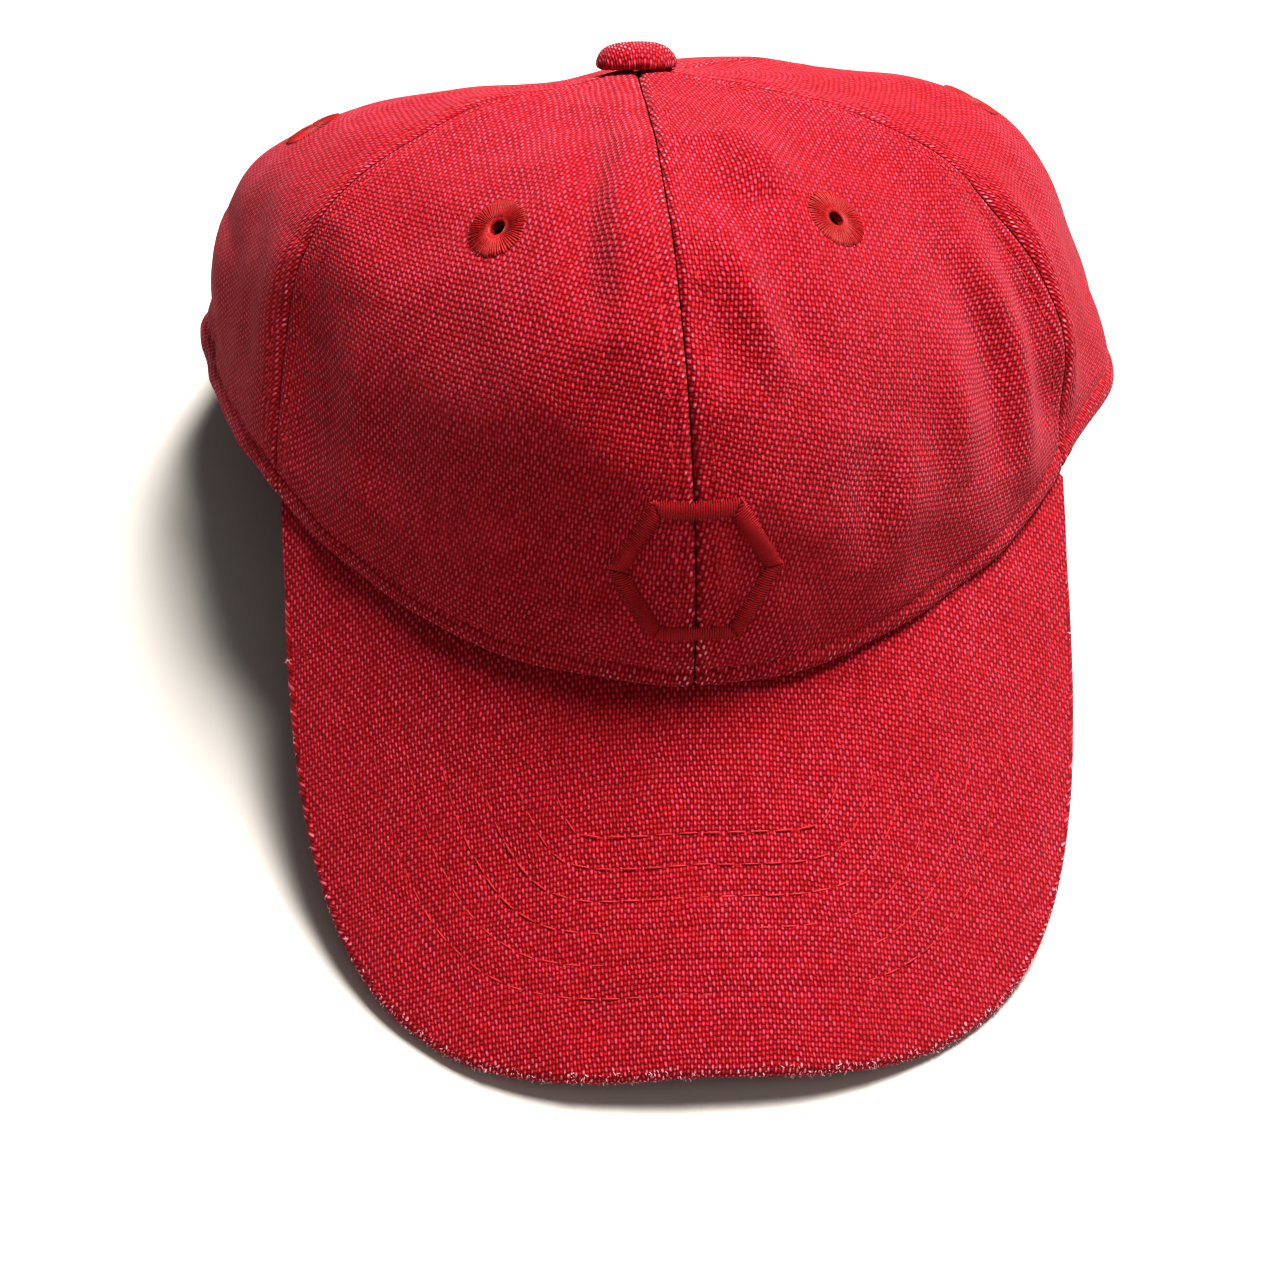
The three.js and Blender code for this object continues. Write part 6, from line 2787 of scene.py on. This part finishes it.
@dataclass
class Studio:
    """Camera, pale floor and soft lights."""

    middle: Vector
    place: Triple = (-0.04084, -0.36761, 0.4521)
    azimuth: float = math.radians(5.62)
    elevation: float = math.radians(51.88)
    roll: float = math.radians(2.347)
    lens: float = 72.96

    def camera(self) -> None:
        """Makes the camera at the cap's three-quarter view from the front and above."""
        level = Vector((math.cos(self.azimuth), -math.sin(self.azimuth), 0))
        ahead = Vector(
            (
                math.sin(self.azimuth) * math.cos(self.elevation),
                math.cos(self.azimuth) * math.cos(self.elevation),
                -math.sin(self.elevation),
            )
        )
        above = level.cross(ahead)
        right = level * math.cos(self.roll) + above * math.sin(self.roll)
        up = above * math.cos(self.roll) - level * math.sin(self.roll)
        data = bpy.data.cameras.new("camera")
        data.lens = self.lens
        data.sensor_width = 36
        data.clip_start = 0.01
        camera = make_object("camera", data)
        turn = Matrix((right, up, -ahead)).transposed().to_4x4()
        camera.matrix_world = Matrix.Translation(Vector(self.place)) @ turn
        bpy.context.scene.camera = camera

    def lamp(self, name: str, place: Triple, size: float, power: float, colour: Triple) -> None:
        """Makes a square soft light that looks at the cap.

        Args:
            name: Name of the light.
            place: Where it hangs.
            size: Length of its side, in metres.
            power: Its power, in watts.
            colour: Its colour.
        """
        data = bpy.data.lights.new(name, "AREA")
        data.shape = "SQUARE"
        data.size = size
        data.energy = power
        data.color = colour
        lamp = make_object(name, data)
        lamp.location = place
        lamp.rotation_euler = (self.middle - Vector(place)).to_track_quat("-Z", "Y").to_euler()

    def floor(self) -> None:
        """Makes the plain pale floor."""
        shape = bmesh.new()
        bmesh.ops.create_grid(shape, x_segments=2, y_segments=2, size=3.0)
        piece = from_bmesh("floor", shape, 1.0)
        material = bpy.data.materials.new("floor")
        material.use_nodes = True
        surface = material.node_tree.nodes["Principled BSDF"]
        surface.inputs["Base Color"].default_value = (0.62, 0.60, 0.57, 1)
        surface.inputs["Roughness"].default_value = 0.8
        piece.data.materials.append(material)

    def build(self) -> None:
        """Makes everything round the cap."""
        self.camera()
        self.floor()
        self.lamp("key", (0.42, 0.50, 1.46), 0.62, 62, (1.0, 0.97, 0.93))
        self.lamp("fill", (0.35, -0.9, 1.3), 1.4, 3.5, (1.0, 0.97, 0.94))
        bpy.context.scene.view_settings.view_transform = "Standard"
        bpy.context.scene.view_settings.look = "Medium High Contrast"
        world = bpy.data.worlds.new("studio")
        world.use_nodes = True
        world.node_tree.nodes["Background"].inputs[0].default_value = (1.0, 0.96, 0.92, 1)
        world.node_tree.nodes["Background"].inputs[1].default_value = 0.085
        bpy.context.scene.world = world


SWELLS = (
    Swell(165, 0.8, 28, 1.3),
    Swell(132, 0.8, 28, 4.4),
    Swell(98, 0.66, 24, 4.5),
    Swell(82, 0.24, 18, -2.6),
    Swell(-112, 0.74, 28, 2.0),
    Swell(-92, 0.48, 18, 1.4),
    Swell(-140, 0.86, 24, -1.2),
    Swell(-80, 0.05, 18, -1.5),
    Swell(71, 0.03, 14, 3.2),
    Swell(0, 0.99, 10, 2.3),
)
CREASES = (
    Fold(((-14, 0.84), (-14, 0.64), (-12, 0.44)), 5.5, -2.4),
    Fold(((-8, 0.84), (-9, 0.64), (-8, 0.42)), 4.5, 2.2),
    Fold(((9, 0.76), (15, 0.6)), 8, -2.5),
    Fold(((23, 0.78), (20, 0.64)), 6, 2.6),
    Fold(((8, 0.6), (11, 0.48), (14, 0.36)), 4, 2.0),
    Fold(((4, 0.52), (7, 0.36)), 5, -1.2),
    Fold(((16, 0.5), (19, 0.38)), 5, -1.2),
    Fold(((38, 0.42), (38, 0.3), (36, 0.16)), 5, 2.2),
    Fold(((44, 0.5), (46, 0.34), (43, 0.12)), 6, -2.2),
    Fold(((50, 0.5), (50, 0.3), (46, 0.06)), 4.5, 2.2),
    Fold(((58, 0.55), (56, 0.35), (53, 0.1)), 5, -2.4),
    Fold(((64, 0.55), (62, 0.35), (58, 0.08)), 5, 2.6),
    Fold(((30, 0.3), (28, 0.18), (25, 0.08)), 6, 1.2),
    Fold(((24, 0.28), (21, 0.12)), 5, -1.2),
    Fold(((78, 0.3), (80, 0.04)), 15, 1.0),
    Fold(((-75, 0.47), (-45, 0.45), (-15, 0.40), (4, 0.32)), 13, 1.8),
    Fold(((-70, 0.24), (-38, 0.22), (-8, 0.17)), 13, -2.0),
    Fold(((-58, 0.5), (-56, 0.3), (-52, 0.08)), 9, -2.2),
    Fold(((-64, 0.45), (-62, 0.25), (-58, 0.05)), 8, 2.0),
    Fold(((-46, 0.4), (-44, 0.2), (-43, 0.06)), 7, 1.6),
    Fold(((-84, 0.35), (-80, 0.1)), 12, 2.0),
    Fold(((-30, 0.86), (-34, 0.7)), 10, -1.2),
    Fold(((110, 0.5), (112, 0.2)), 12, -1.8),
    Fold(((140, 0.6), (152, 0.75)), 14, 1.6),
    Fold(((-112, 0.45), (-108, 0.15)), 12, -1.8),
    Fold(((-135, 0.6), (-150, 0.4)), 12, 1.6),
)


def make_form() -> CapForm:
    """Form of the cap, set where the CAD brim is.

    Returns:
        The form.
    """
    low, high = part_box("brim_top_cover")
    bare = CapForm((0, 0, 0))
    shift = (float(low[0] + high[0]) / 2 / MM, float(low[1]) / MM + bare.brim_reach, 0.0)
    patches = ((33, 0.4), (147, 0.44))
    spots = tuple((side.value * degrees, share) for side in Side for degrees, share in patches)
    return CapForm(shift, folds=CREASES, swells=SWELLS, calm_spots=spots)


def main() -> None:
    """Builds the cap in order."""
    logging.basicConfig(level=logging.INFO, format="%(message)s")
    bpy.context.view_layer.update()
    form = make_form()
    wardrobe = Wardrobe()
    Studio(Vector((0, -0.01, 0.06))).build()
    panels = CrownPanels(form, wardrobe)
    panels.build()
    panels.stitch()
    Eyelets(form, wardrobe, panels.eyelets).build()
    TopButton(form, wardrobe).build()
    Emblem(form, wardrobe).build()
    Brim(form, wardrobe).build()
    trim = InsideTrim(form, panels, wardrobe)
    trim.build()
    strap = RearStrap(form, trim, wardrobe)
    strap.build()
    Buckle(form, wardrobe, strap).build()
    ProtectiveInsert(form, trim, wardrobe).build()


if __name__ == "__main__":
    main()
